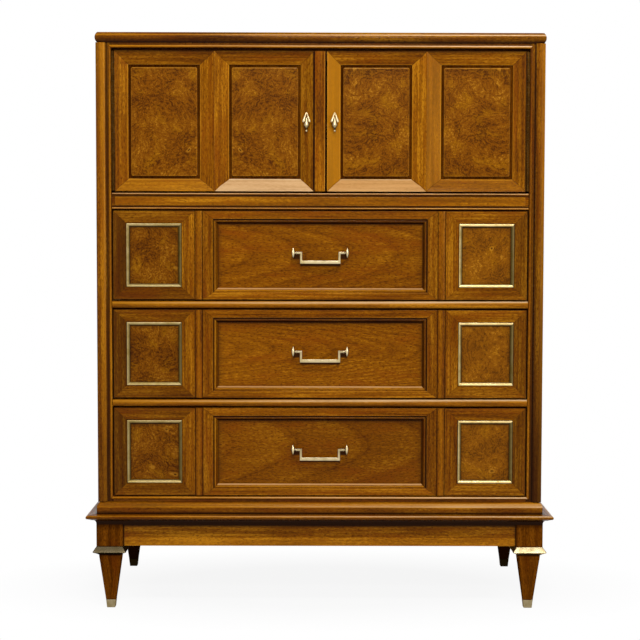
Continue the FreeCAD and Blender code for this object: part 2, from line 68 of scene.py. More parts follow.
# %% Place the camera
camera_place = Vector((-0.0115, -3.51815, 0.8227))
camera_lens = 85.71
looks_down = math.radians(3.278)
turns_right = math.radians(0.195)
rolls = math.radians(0.126)

ahead = Vector((math.sin(turns_right) * math.cos(looks_down),
                math.cos(turns_right) * math.cos(looks_down), -math.sin(looks_down)))
level = Vector((math.cos(turns_right), -math.sin(turns_right), 0))
upright = level.cross(ahead)
to_right = level * math.cos(rolls) + upright * math.sin(rolls)
to_head = upright * math.cos(rolls) - level * math.sin(rolls)

camera = bpy.data.objects.new("camera", bpy.data.cameras.new("camera"))
camera.data.lens = camera_lens
camera.data.sensor_width = 36
camera_turn = Matrix((to_right, to_head, -ahead)).transposed().to_4x4()
camera.matrix_world = Matrix.Translation(camera_place) @ camera_turn
bpy.context.scene.collection.objects.link(camera)
bpy.context.scene.camera = camera
bpy.context.scene.view_settings.view_transform = "Standard"
print("camera", [round(x, 3) for x in camera.location], "lens", camera_lens)

# %% [markdown]
# ## A notebook for materials
#
# Every finish here is worked out by nodes. Writing nodes one by one is long, so a small class
# gives each kind of node a short method that adds it, joins its inputs and returns its output.
# Colours are written as they look on the screen, from 0 to 255, and turned into linear light.

# %% A recipe for one finish
def shade(red, green, blue):
    """A screen colour as linear light: the usual curve, ((c + 0.055) / 1.055) to the power 2.4."""
    parts = np.array([red, green, blue]) / 255
    linear = np.where(parts <= 0.04045, parts / 12.92, ((parts + 0.055) / 1.055) ** 2.4)
    return (*[float(c) for c in linear], 1.0)


class Recipe:
    """The nodes of one finish. Each method adds a node and returns its output."""

    def __init__(self, name, **fixed):
        self.material = bpy.data.materials.new(name)
        self.material.use_nodes = True
        self.tree = self.material.node_tree
        self.tree.nodes.clear()
        self.surface = self.tree.nodes.new("ShaderNodeBsdfPrincipled")
        ending = self.tree.nodes.new("ShaderNodeOutputMaterial")
        self.tree.links.new(self.surface.outputs["BSDF"], ending.inputs["Surface"])
        for socket, value in fixed.items():
            self.finish(socket.replace("_", " "), value)

    def put(self, socket, value):
        if isinstance(value, bpy.types.NodeSocket):
            self.tree.links.new(value, socket)
        else:
            socket.default_value = value

    def finish(self, name, value):
        """Sets an input of the surface by its name, in any mix of capitals."""
        sockets = {socket.name.lower(): socket for socket in self.surface.inputs}
        self.put(sockets[name.lower()], value)

    def node(self, kind, output, inputs, **settings):
        made = self.tree.nodes.new("ShaderNode" + kind)
        for name, value in settings.items():
            setattr(made, name, value)
        for key, value in inputs.items():
            self.put(made.inputs[key], value)
        return made.outputs[output]

    def grain_map(self):
        return self.node("UVMap", "UV", {}, uv_map="grain")

    def place(self):
        return self.node("TexCoord", "Object", {})

    def mark(self, name):
        return self.node("Attribute", "Fac", {}, attribute_name=name)

    def stretched(self, vector, scale, shift=(0, 0, 0), turn=(0, 0, 0)):
        return self.node("Mapping", "Vector",
                         {"Vector": vector, "Scale": scale, "Location": shift, "Rotation": turn})

    def noise(self, vector, scale=1.0, detail=3.0, roughness=0.5, output="Fac"):
        return self.node("TexNoise", output, {
            "Vector": vector, "Scale": scale, "Detail": detail, "Roughness": roughness})

    def cells(self, vector, scale):
        return self.node("TexVoronoi", "Distance", {"Vector": vector, "Scale": scale})

    def math(self, operation, first, second=0.0):
        return self.node("Math", "Value", {0: first, 1: second}, operation=operation)

    def add(self, first, *others):
        for value in others:
            first = self.math("ADD", first, value)
        return first

    def less(self, first, second):
        return self.math("SUBTRACT", first, second)

    def times(self, first, second):
        return self.math("MULTIPLY", first, second)

    def step(self, value, low, high, to_low=0.0, to_high=1.0):
        """Maps low..high smoothly to to_low..to_high, and holds the ends outside."""
        return self.node("MapRange", "Result", {
            "Value": value, "From Min": low, "From Max": high, "To Min": to_low, "To Max": to_high},
            interpolation_type="SMOOTHSTEP")

    def ramp(self, value, low, high):
        """Maps low..high evenly to 0..1, and holds the ends outside."""
        return self.node("MapRange", "Result", {"Value": value, "From Min": low, "From Max": high})

    def mixed(self, share, first, second):
        return self.node("Mix", 2, {0: share, 6: first, 7: second}, data_type="RGBA")

    def bump(self, height, strength, distance):
        return self.node("Bump", "Normal", {
            "Height": height, "Strength": strength, "Distance": distance})

    def done(self, colour, roughness, height, strength, distance):
        self.finish("base color", colour)
        self.finish("roughness", roughness)
        self.finish("normal", self.bump(height, strength, distance))
        return self.material


# %% [markdown]
# ## Lacquered walnut
#
# Real walnut has three scales of pattern: broad growth figure, which makes long arches where the
# board was sawn flat, long thin streaks along the board, and short dark pores. All three are
# noise stretched along the grain. The arches are the level lines of a smooth stretched noise,
# drawn by a sine. New pieces carry a map named grain, in metres along and across the board, so
# the pattern turns with each board. One mark, from 0 to 1, darkens grooves and joints as the
# maker's rubbed glaze does and as painted shade where shadow falls, and below 0 it lightens worn
# edges and paints highlights and sheen. A second mark makes one board lighter or darker than the
# next, as sorted veneers are, and also paints light and shade on members that face towards or
# away from the lamps.

# %% Wood grain from three noises
# The dark colour of glaze and of painted shade, and the pale colour of wear and of painted highlights
# and painted reflections.
glaze_colour = shade(30, 8, 1)
pale_wear_and_highlight = shade(218, 188, 148)
LACQUER = dict(Specular_IOR_Level=0.05, Specular_Tint=(1.0, 0.7, 0.34, 1.0), Coat_Weight=0.05,
               Coat_Roughness=0.16, Coat_IOR=1.5)


def flat_sawn_arches(recipe, along, apex, bend, count):
    """Nested arches with their tips at apex: thin dark lines where count * (u + bend * v^2) passes
    a whole number, with u and v wobbling by slow noises, and a soft swell between two lines."""
    plane = recipe.node("SeparateXYZ", "X", {"Vector": along}).node.outputs
    wobble = recipe.noise(recipe.stretched(along, (3.0, 16.0, 1.0)), detail=3.0)
    uneven = recipe.noise(recipe.stretched(along, (2.0, 5.0, 1.0), (4.0, 1.0, 0.0)), detail=2.0)
    v = recipe.add(recipe.less(plane["Y"], apex[1]),
                    recipe.times(recipe.less(wobble, 0.5), 0.03))
    u = recipe.add(recipe.less(plane["X"], apex[0]),
                    recipe.times(recipe.times(v, v), bend))
    u = recipe.add(u, recipe.times(uneven, 0.1))
    ring = recipe.math("FRACT", recipe.times(u, count))
    line = recipe.add(recipe.step(ring, 0.84, 0.96), recipe.step(ring, 0.0, 0.1, 1.0, 0.0))
    swell = recipe.step(ring, 0.1, 0.8, -0.35, 0.35)
    return recipe.less(swell, recipe.times(line, 0.7))


def wood_colour(recipe, along, palette, arches=None):
    """Dark, middle and light colours mixed by growth figure, streaks, clouds and pores."""
    dark, middle, light = palette
    plain = arches is None

    def grain(scale, shift=(0, 0, 0), detail=2.0, roughness=0.5):
        return recipe.noise(recipe.stretched(along, scale, shift), detail=detail, roughness=roughness)

    if plain:
        arches = recipe.math("SINE", recipe.times(grain((1.2, 11.0, 11.0), roughness=0.45), 50.0))
    drift = grain((2.4, 7.0, 7.0), (3.1, 1.7, 0.4), 3.0)
    streaks = grain((5.0, 130.0, 130.0), detail=3.0, roughness=0.6)
    fibres = grain((85.0, 440.0, 440.0), roughness=0.7)
    flecks = grain((150.0, 300.0, 300.0), (0.3, 0.9, 0.5), roughness=0.7)
    pores = grain((150.0, 520.0, 520.0), detail=1.0)
    ruddy = grain((6.0, 26.0, 26.0), (7.3, 2.9, 1.1), 4.0, 0.7)
    calm = 0.0 if plain else 0.15
    level = recipe.add(recipe.times(arches, 0.08 if plain else 0.24),
                       recipe.step(streaks, 0.34, 0.66, calm, 0.46 - calm),
                       recipe.step(fibres, 0.35, 0.65, 0.0, 0.34),
                       recipe.step(flecks, 0.36, 0.64, 0.0, 0.16),
                       recipe.step(drift, 0.3, 0.7, calm, 0.46 - calm))
    colour = recipe.mixed(recipe.step(level, 0.1, 0.8), dark, middle)
    colour = recipe.mixed(recipe.step(level, 0.7, 1.3), colour, light)
    redder = (middle[0] * 0.92, middle[1] * 0.6, middle[2], 1.0)
    colour = recipe.mixed(recipe.step(ruddy, 0.45, 0.7, 0.0, 0.55), colour, redder)
    pore = recipe.step(pores, 0.56, 0.68)
    return recipe.mixed(recipe.times(pore, 0.75), colour, dark), level, pore


def with_glaze_and_painted_light(recipe, colour, light, level):
    """Darkens with the first mark, which is glaze and painted shade, pales where it is below 0 but
    less in the dark grain, as wear and painted highlights, and shifts with the second mark, which
    is board tone and painted light and shade."""
    glaze = recipe.mark("glaze")
    tone = recipe.mark("tone")
    grain = recipe.step(level, 0.0, 1.2, 0.55, 1.0)
    wear_and_highlight = recipe.mixed(recipe.times(recipe.ramp(glaze, 0.0, -0.6), grain), colour, light)
    wear_and_highlight = recipe.mixed(recipe.times(recipe.ramp(glaze, -0.5, -1.5), grain), wear_and_highlight, pale_wear_and_highlight)
    shaded = recipe.mixed(recipe.ramp(tone, 0.0, -1.0), wear_and_highlight, glaze_colour)
    lifted = recipe.mixed(recipe.ramp(tone, 0.0, 1.0), shaded, light)
    return recipe.mixed(recipe.ramp(glaze, 0.0, 1.0), lifted, glaze_colour)


def painted_shadow_behind_pull(recipe, colour, height):
    """Painted shadow on the field behind a bail: a soft dark bar below its grip and a soft dark patch
    below each stub, where the bail's shadow falls. Each is the product of one step across and one
    step up."""
    plane = recipe.node("SeparateXYZ", "X", {"Vector": recipe.place()}).node.outputs
    across = recipe.math("ABSOLUTE", plane["X"])

    def patch(middle, half_wide, drop, half_high, soft):
        aside = recipe.math("ABSOLUTE", recipe.less(across, middle * mm))
        below = recipe.math("ABSOLUTE", recipe.less(plane["Z"], height - drop * mm))
        return recipe.times(recipe.step(aside, (half_wide + soft) * mm, half_wide * mm),
                           recipe.step(below, (half_high + soft) * mm, half_high * mm))

    grip = patch(middle=0.0, half_wide=42.0, drop=24.0, half_high=4.0, soft=2.5)
    stub = patch(middle=51.0, half_wide=5.0, drop=7.5, half_high=4.5, soft=4.5)
    share = recipe.times(recipe.math("MAXIMUM", grip, stub), 0.88)
    return recipe.mixed(share, colour, glaze_colour)


def grain_of(recipe, turn):
    """The map of a new piece or, for a piece that keeps its shape, places turned with all of it."""
    return recipe.grain_map() if turn is None else recipe.stretched(recipe.place(), (1, 1, 1), turn=turn)


def walnut(name, palette, arches=None, turn=None, lacquer=LACQUER, pull_height=None):
    """Lacquered walnut. Only a new piece, which needs no turn, carries the marks."""
    recipe = Recipe(name, **lacquer)
    along = grain_of(recipe, turn)
    figure = flat_sawn_arches(recipe, along, *arches) if arches else None
    colour, level, pore = wood_colour(recipe, along, palette, figure)
    if turn is None:
        colour = with_glaze_and_painted_light(recipe, colour, palette[2], level)
    # The painted shadow of the pull on the drawer's field.
    if pull_height is not None:
        colour = painted_shadow_behind_pull(recipe, colour, pull_height)
    height = recipe.less(recipe.times(level, 0.35), pore)
    return recipe.done(colour, recipe.step(level, 0.1, 1.0, 0.36, 0.24), height, 0.12, 0.0003)


golden = [shade(78, 34, 1), shade(132, 75, 3), shade(184, 120, 18)]
russet = [shade(60, 27, 2), shade(99, 52, 4), shade(134, 76, 12)]
walnut_golden = walnut("walnut_golden", golden)
walnut_russet = walnut("walnut_russet", russet, lacquer=dict(Specular_IOR_Level=0.0))
walnut_inside = walnut("walnut_inside", russet, turn=(0, 0, 0))
print("walnut finishes:", [m.name for m in bpy.data.materials])

# %% [markdown]
# ## Burl veneer
#
# Burl has no grain direction. Its fibres curl round hundreds of small buds, which show as dark
# eyes in golden clouds. Plain noise looks like marble, so the coordinates are warped twice, by a
# slow noise that makes the swirls and by a quick one that frays them. The level lines of a
# smooth noise give the curling threads, a scatter of points gives the eyes with their pale rims,
# and a grainy noise gives the glitter of end grain that burl has all over.

# %% Swirls, clouds and eyes
def burl(name, palette):
    dark, middle, light, olive = palette
    recipe = Recipe(name, **LACQUER)
    plane = recipe.grain_map()

    def pushed(place, scale, detail, reach):
        push = recipe.noise(plane, scale, detail, output="Color")
        return recipe.node("VectorMath", "Vector", {0: push, 1: (reach, reach, 0.0), 2: place},
                           operation="MULTIPLY_ADD")

    warped = pushed(plane, 7.0, 2.0, 0.09)
    frayed = pushed(warped, 55.0, 3.0, 0.014)
    clouds = recipe.noise(frayed, 19.0, 3.0, 0.55)
    patches = recipe.noise(frayed, 30.0, 2.0, 0.5)
    knots = recipe.cells(warped, 9.0)
    rings = recipe.math("SINE", recipe.times(knots, 62.0))
    near = recipe.step(knots, 0.62, 0.15)
    fold = recipe.noise(frayed, 12.0, 2.0, 0.5)
    curls = recipe.math("SINE", recipe.times(fold, 120.0))
    grit = recipe.noise(frayed, 210.0, 3.0, 0.75)
    specks = recipe.noise(plane, 430.0, 2.0, 0.7)
    level = recipe.add(recipe.times(recipe.step(clouds, 0.32, 0.68), 0.34),
                       recipe.times(recipe.times(rings, near), 0.09),
                       recipe.step(curls, -1.0, 0.6, 0.0, 0.13),
                       recipe.times(recipe.step(grit, 0.34, 0.66), 0.36),
                       recipe.times(recipe.step(specks, 0.34, 0.66), 0.3))
    colour = recipe.mixed(recipe.step(level, 0.15, 0.7), dark, middle)
    colour = recipe.mixed(recipe.step(level, 0.66, 1.25), colour, light)
    gold = recipe.times(recipe.step(patches, 0.5, 0.7, 0.0, 0.4), recipe.step(level, 0.2, 0.9))
    colour = recipe.mixed(gold, colour, olive)
    buds = recipe.cells(frayed, 24.0)
    lucky = recipe.step(recipe.noise(plane, 13.0, 1.0), 0.5, 0.6)
    rim = recipe.times(recipe.step(buds, 0.16, 0.1), lucky)
    colour = recipe.mixed(recipe.times(rim, 0.5), colour, light)
    eye = recipe.times(recipe.step(buds, 0.09, 0.03), lucky)
    colour = recipe.mixed(eye, colour, dark)
    colour = with_glaze_and_painted_light(recipe, colour, light, level)
    return recipe.done(colour, recipe.step(level, 0.2, 1.1, 0.34, 0.24), level, 0.06, 0.0003)


burl_veneer = burl("burl_veneer", [shade(64, 26, 1), shade(121, 67, 3), shade(190, 130, 32),
                                   shade(158, 104, 4)])
print("burl:", burl_veneer.name)

# %% [markdown]
# ## Brass
#
# The pulls, knobs, collars and thin frames are brass under old lacquer: bright on the crests,
# olive where it has dulled and nearly black in the corners with patina and painted shade. Whole
# members, such as the right bars of the frames and the left collars, are painted darker as a
# painted dark reflection. Metal has no diffuse colour, so its colour is that of its reflections,
# and a cloudy roughness breaks them up.

# %% Antique brass and the hidden metals
def metal(name, bright, dull, roughness, dark=None):
    """Clouded metal. Where a dark colour is given, the marks darken it towards that: patina in the
    hollows, painted shade, and painted dark reflections.
    """
    recipe = Recipe(name, Metallic=1.0, Specular_Tint=(0.2, 0.14, 0.06, 1.0))
    place = recipe.place()
    cloud = recipe.noise(place, 60.0, 4.0, 0.6)
    scratch = recipe.noise(recipe.stretched(place, (1400, 160, 1400)), detail=2.0)
    colour = recipe.mixed(recipe.step(cloud, 0.35, 0.75), bright, dull)
    if dark:
        colour = recipe.mixed(recipe.ramp(recipe.mark("glaze"), 0.0, 1.0), colour, dark)
        colour = recipe.mixed(recipe.ramp(recipe.mark("tone"), 0.0, -1.0), colour, dark)
    clouded = recipe.step(cloud, 0.3, 0.8, roughness, roughness + 0.14)
    return recipe.done(colour, clouded, scratch, 0.06, 0.0002)


antique_brass = metal("antique_brass", shade(228, 206, 160), shade(192, 170, 118), 0.3, shade(26, 18, 5))
dull_brass = metal("dull_brass", shade(238, 210, 146), shade(200, 170, 100), 0.3, shade(64, 50, 8))
hinge_brass = metal("hinge_brass", shade(72, 46, 14), shade(50, 30, 8), 0.36)
strike_steel = metal("strike_steel", shade(176, 176, 172), shade(130, 128, 122), 0.3)
print("metals:", [m.name for m in (antique_brass, dull_brass, hinge_brass, strike_steel)])


# %% [markdown]
# ## The woods nobody sees
#
# Drawer boxes, runners and the back are plain pale wood and hardboard, with no lacquer to speak
# of. They show when a drawer is out or from behind, so they get grain and some dust as well.

# %% Secondary wood, back board and catch plastic
def plain_wood(name, palette, turn=None):
    """Wood without lacquer or marks."""
    recipe = Recipe(name, Specular_IOR_Level=0.25)
    along = grain_of(recipe, turn)
    colour, level, pore = wood_colour(recipe, along, palette)
    height = recipe.less(level, pore)
    return recipe.done(colour, recipe.step(level, 0.1, 1.0, 0.62, 0.5), height, 0.2, 0.0003)


def speckled(name, base, fleck, scale, roughness):
    recipe = Recipe(name, Specular_IOR_Level=0.3)
    place = recipe.place()
    flecks = recipe.noise(place, scale, 5.0, 0.7)
    clouds = recipe.noise(place, 4.0, 3.0)
    level = recipe.add(recipe.times(flecks, 0.6), recipe.times(clouds, 0.4))
    colour = recipe.mixed(recipe.step(level, 0.35, 0.65), base, fleck)
    speckle = recipe.step(flecks, 0.3, 0.7, roughness, roughness + 0.12)
    return recipe.done(colour, speckle, flecks, 0.25, 0.0004)


pale = [shade(150, 112, 66), shade(186, 150, 100), shade(206, 174, 126)]
from_front_to_back = (0, 0, math.radians(-90))
oak_mapped = plain_wood("oak_mapped", pale)
oak_deep = plain_wood("oak_deep", pale, from_front_to_back)
back_board = speckled("back_board", shade(112, 76, 44), shade(134, 96, 60), 500.0, 0.6)
catch_plastic = speckled("catch_plastic", shade(98, 62, 34), shade(106, 68, 40), 900.0, 0.4)
print("hidden finishes:", oak_mapped.name, oak_deep.name, back_board.name, catch_plastic.name)

# %% [markdown]
# ## Surfaces from numbers
#
# Every new piece is a grid of points worked out with numpy: a closed section carried through a
# row of stations. A shape gathers such grids, with the grain coordinates and the marks of glaze
# and painted light at each point, and becomes one mesh. Points that meet are merged, so that
# shells are closed, and the normals are turned outwards.

# %% A shape made of grids
# How strong the painted highlights are across the width, from the left to the right.
highlight_x = (-0.45, -0.28, -0.05, 0.15, 0.42)
highlight_share = (0.35, 0.5, 0.8, 1.0, 1.3)


class Shape:
    """Grids of points that become one mesh, with grain and two marks at every corner: glaze with
    painted shade and highlights, and tone with painted light and shade.
    """

    def __init__(self, boards_before=0):
        self.points, self.grain, self.glaze, self.tone, self.faces = [], [], [], [], []
        self.count = 0
        self.board = boards_before

    def keep(self, points, grain, glaze, tone):
        points = np.asarray(points, float).reshape(-1, 3)
        size = len(points)
        self.points.append(points)
        self.grain.append(np.asarray(grain, float).reshape(-1, 2))
        self.glaze.append(np.broadcast_to(np.ravel(glaze), (size,)))
        self.tone.append(np.full(size, float(tone)))
        self.count += size
        return np.arange(self.count - size, self.count)

    def skin(self, points, grain, glaze, tone=0.0):
        """A grid of rows and columns of points, with a quad between each four neighbours."""
        rows, columns = points.shape[:2]
        at = self.keep(points, grain, np.broadcast_to(glaze, (rows, columns)), tone)
        at = at.reshape(rows, columns)
        quads = np.stack([at[:-1, :-1], at[1:, :-1], at[1:, 1:], at[:-1, 1:]], -1)
        self.faces += quads.reshape(-1, 4).tolist()

    def lid(self, loop, grain, glaze, tone=0.0):
        """One flat face across a closed loop of points."""
        self.faces.append(self.keep(loop, grain, glaze, tone).tolist())

    def tone_and_shade_along(self, axis, places, tones_and_light):
        """Lets the tone change along an axis, as painted light and shade: darker towards the floor on
        the posts, lighter below the shadow's line on the aprons, darker to one side on the fields and
        above the grip on the bails.
        """
        self.tone = [np.interp(points[:, axis], places, tones_and_light) for points in self.points]

    def highlight_by_width(self):
        """Fades the pale marks, which are mostly painted highlights, towards the left, where the lamps
        throw less light on the crests.
        """
        for k, (glaze, points) in enumerate(zip(self.glaze, self.points)):
            share = np.interp(points[:, 0], highlight_x, highlight_share)
            self.glaze[k] = np.where(glaze < 0, glaze * share, glaze)

    def next_board(self):
        """A far-off place in the veneer for each new board, the same on every run."""
        self.board += 1
        return np.array([(self.board * 0.731) % 5.0, (self.board * 1.379) % 7.0])


def make(shape, name, material, body, slot, *stands_for, sharp=40.0):
    """Turns a shape into an object with smooth faces and sharp corners, riding on its body."""
    mesh = bpy.data.meshes.new(name)
    mesh.from_pydata(np.concatenate(shape.points), [], shape.faces)
    corner = np.empty(len(mesh.loops), np.int32)
    mesh.loops.foreach_get("vertex_index", corner)
    grain = mesh.uv_layers.new(name="grain")
    grain.data.foreach_set("uv", np.concatenate(shape.grain)[corner].astype(np.float32).ravel())
    for mark, values in (("glaze", shape.glaze), ("tone", shape.tone)):
        layer = mesh.attributes.new(mark, "FLOAT", "CORNER")
        layer.data.foreach_set("value", np.concatenate(values)[corner].astype(np.float32))
    work = bmesh.new()
    work.from_mesh(mesh)
    bmesh.ops.remove_doubles(work, verts=work.verts, dist=0.003 * mm)
    bmesh.ops.recalc_face_normals(work, faces=work.faces)
    work.to_mesh(mesh)
    work.free()
    mesh.shade_smooth()
    mesh.set_sharp_from_angle(angle=math.radians(sharp))
    mesh.materials.append(material)
    piece = bpy.data.objects.new(name, mesh)
    bpy.context.scene.collection.objects.link(piece)
    weighted = piece.modifiers.new("weighted", "WEIGHTED_NORMAL")
    weighted.keep_sharp = True
    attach(piece, body)
    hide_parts(*stands_for)
    print(name, "-", len(mesh.polygons), "faces for", ", ".join(stands_for))


# %% [markdown]
# ## Sections
#
# A section is a table of corners: how far in, how deep, how much the corner is eased, and how
# much glaze and painted light sits there. Sanding and lacquer round every real edge, and that
# small radius is what catches the light, so each corner is replaced by a short curve.

# %% Eased corners, arches and rounded squares
ease_steps, swell_steps = 3, 8


def eased(corners):
    """Replaces each corner by the curve (1-t)^2 a + 2t(1-t) corner + t^2 b, where a and b lie on the
    two sides at the corner's easing distance. Rows are inwards, depth, easing, and glaze with
    painted light; the easing goes, and the lengths come out in metres."""
    corners = np.asarray(corners, float)
    here, ease, glaze = corners[:, :2], corners[:, 2:3], corners[:, 3:4]

    def towards(other):
        reach = other - here
        length = np.linalg.norm(reach, axis=1, keepdims=True)
        return reach / np.maximum(length, 1e-9) * np.minimum(ease, length * 0.45)

    a, b = here + towards(np.roll(here, 1, 0)), here + towards(np.roll(here, -1, 0))
    t = np.linspace(0, 1, ease_steps + 1)[None, :, None]
    curve = (1 - t) ** 2 * a[:, None] + 2 * t * (1 - t) * here[:, None] + t ** 2 * b[:, None]
    rows = np.concatenate([curve, np.broadcast_to(glaze[:, None], curve.shape[:2] + (1,))], -1)
    rows = rows.reshape(-1, 3)
    fresh = np.linalg.norm(rows[:, :2] - np.roll(rows[:, :2], 1, 0), axis=1) > 1e-6
    return rows[fresh] * (mm, mm, 1)


def arch(start, end, depth, rise, groove=0.9, steps=10, wear_and_highlight=0.35, lean=0.0, far=6):
    """Corners on a half-ellipse from start to end that stands rise proud of depth. Glaze and painted
    shade are thick at its feet and fade up its sides, as the sixth power of the cosine or, towards
    the end, its power far. The crest gets a painted highlight, as the eighth power of the sine,
    leaning towards the end."""
    turn = np.linspace(0, math.pi, steps + 1)
    middle, half = (start + end) / 2, (end - start) / 2
    crest = np.clip(np.sin(turn - lean), 0, 1) ** 8
    foot = np.abs(np.cos(turn)) ** np.where(turn > math.pi / 2, far, 6)
    return np.stack([middle - half * np.cos(turn), depth - rise * np.sin(turn), 0 * turn,
                     groove * foot - wear_and_highlight * crest], 1).tolist()


def swell(start, end, depth, rise, shades=(0.0, 0.0)):
    """Corners on a shallow parabola that stands rise proud of depth in the middle, with the mark
    going evenly from the first shade to the second: painted light and shade across the face."""
    across = np.linspace(-1, 1, swell_steps + 1)
    return np.stack([(start + end) / 2 + (end - start) / 2 * across, depth - rise * (1 - across ** 2),
                     0 * across, np.linspace(*shades, swell_steps + 1)], 1).tolist()


def rounded_square(half_wide, half_high, radius, steps=3):
    """A closed loop round a rectangle: four quarter circles about its corners' centres."""
    turn = np.linspace(0, math.pi / 2, steps + 1)
    corner = np.arange(4)[:, None] * math.pi / 2
    side_x = np.array([1, -1, -1, 1])[:, None] * (half_wide - radius)
    side_y = np.array([1, 1, -1, -1])[:, None] * (half_high - radius)
    angle = turn + corner
    loop = np.stack([side_x + radius * np.cos(angle), side_y + radius * np.sin(angle)], -1)
    return loop.reshape(-1, 2)


print("a bead has", len(arch(0, 7, 6, 3.5)), "corners")

# %% [markdown]
# ## Carrying a section
#
# A moulded board is a section carried from one mitre to the other. Near each mitre a few more
# stations lie close together, so that the joint shows as a hairline of dark glaze.

# %% Boards between two ends, and mitred frames
joint_stations = np.array([0.0, 0.35, 1.3]) * mm
nothing = -9.0
joint_glaze = np.array([0.85, 0.35, nothing])
end_grain = (0.3, 1.0)


def joined_up(loops):
    """Each loop of points with its first one again at its end."""
    return np.concatenate([loops, loops[:, :1]], 1)


def length_round(loop):
    """The distance along a closed loop of points from its first one back to it."""
    edges = np.linalg.norm(np.diff(loop, axis=0, append=loop[:1]), axis=1)
    return np.concatenate([[0.0], np.cumsum(edges)])


def board(shape, start, end, glaze, axis, tone=0.0, lids=False, joint=1.0, between=0):
    """A board between two loops of points. Its grain runs along axis, and its ends get hairlines.
    between adds so many more loops along it, evenly."""
    shift = shape.next_board()
    run = end - start
    way = run / np.linalg.norm(run, axis=1, keepdims=True)
    near = joint_stations[:, None, None]
    middle = np.linspace(0, 1, between + 2)[1:-1, None, None]
    loops = np.concatenate([start + way * near, start + run * middle, (end - way * near)[::-1]])
    closed = joined_up(loops)
    across = np.broadcast_to(length_round(start), closed.shape[:2])
    grain = np.stack([closed[..., axis], across], -1) + shift
    joints = np.concatenate([joint_glaze, np.full(between, nothing), joint_glaze[::-1]])[:, None] * joint
    marks = np.concatenate([glaze, glaze[:1]])[None, :]
    shape.skin(closed, grain, np.maximum(marks, joints), tone)
    if lids:
        flat = [k for k in range(3) if k != axis]
        for loop in (start, end):
            shape.lid(loop, loop[:, flat] * end_grain + shift, 0.35, tone)


def bar(shape, section, start, end, inwards, axis, **more):
    """A straight bar with ends: the section's first column goes along inwards, its second along +Y."""
    ends = [np.asarray(place) + section[:, :1] * np.asarray(inwards, float)
            + section[:, 1:2] * np.array([0.0, 1.0, 0.0]) for place in (start, end)]
    board(shape, *ends, section[:, 2], axis, lids=True, joint=0.5, **more)


def mitred_ring(shape, x, z, front, sections, tones_and_light=(0, 0, 0, 0), joint=1.0, between=0):
    """Four boards that share their mitre loops: left, right, bottom and top sections go inwards
    from the edges x and z, and back from front."""
    left, right, bottom, top = sections
    deep = front + left[:, 1]

    across = (x[0] + left[:, 0], x[1] - right[:, 0])
    up = (z[0] + bottom[:, 0], z[1] - top[:, 0])
    low_left, low_right, high_left, high_right = [np.stack([a, deep, b], 1) for b in up for a in across]
    rows = ((low_left, high_left, left, 2, 0), (low_right, high_right, right, 2, 0),
            (low_left, low_right, bottom, 0, between), (high_left, high_right, top, 0, between))
    for (start, end, section, axis, more), tone in zip(rows, tones_and_light):
        board(shape, start, end, section[:, 2], axis, tone, joint=joint, between=more)


# %% [markdown]
# Plain boards are boxes with eased edges. A panel is a stack of rounded rectangles that face the
# front, and a turned piece is a row of radii spun round a line.

# %% Blocks, raised panels and turned pieces
quarter = np.linspace(0, math.pi / 2, 4)


def tube(shape, loops, axis, widest, glaze, tone=0.0):
    """A closed tube through loops of points, each with its own glaze and painted light, and a lid of
    end grain on both ends. The grain runs along the axis and is measured round the widest loop."""
    loops, glaze = np.array(loops), np.asarray(glaze, float)
    closed = joined_up(loops)
    flat = [k for k in range(3) if k != axis]
    shift = shape.next_board()
    across = np.broadcast_to(length_round(loops[widest]), closed.shape[:2])
    shape.skin(closed, np.stack([closed[..., axis], across], -1) + shift, glaze[:, None], tone)
    for row in (0, -1):
        shape.lid(loops[row], loops[row][:, flat] * end_grain + shift, glaze[row], tone)


def block(shape, low, high, axis, ease=0.8 * mm):
    """A board with rounded edges: rounded rectangles along the grain's axis, smaller by
    ease * (1 - sin a) at ease * (1 - cos a) from each end, and six more of full size between."""
    low, high = np.asarray(low, float), np.asarray(high, float)
    flat = [k for k in range(3) if k != axis]
    middle, half = (low + high) / 2, (high - low) / 2
    inset, reach = ease * (1 - np.sin(quarter)), ease * (1 - np.cos(quarter))
    between = np.linspace(low[axis], high[axis], 8)[1:-1]
    places = np.concatenate([low[axis] + reach, between, (high[axis] - reach)[::-1]])
    insets = np.concatenate([inset, 0 * between, inset[::-1]])
    loops = []
    for place, less in zip(places, insets):
        ring = rounded_square(half[flat[0]] - less, half[flat[1]] - less, ease - less + 0.01 * mm)
        loop = np.empty((len(ring), 3))
        loop[:, flat] = ring + middle[flat]
        loop[:, axis] = place
        loops.append(loop)
    tube(shape, loops, axis, len(quarter), np.zeros(len(loops)))


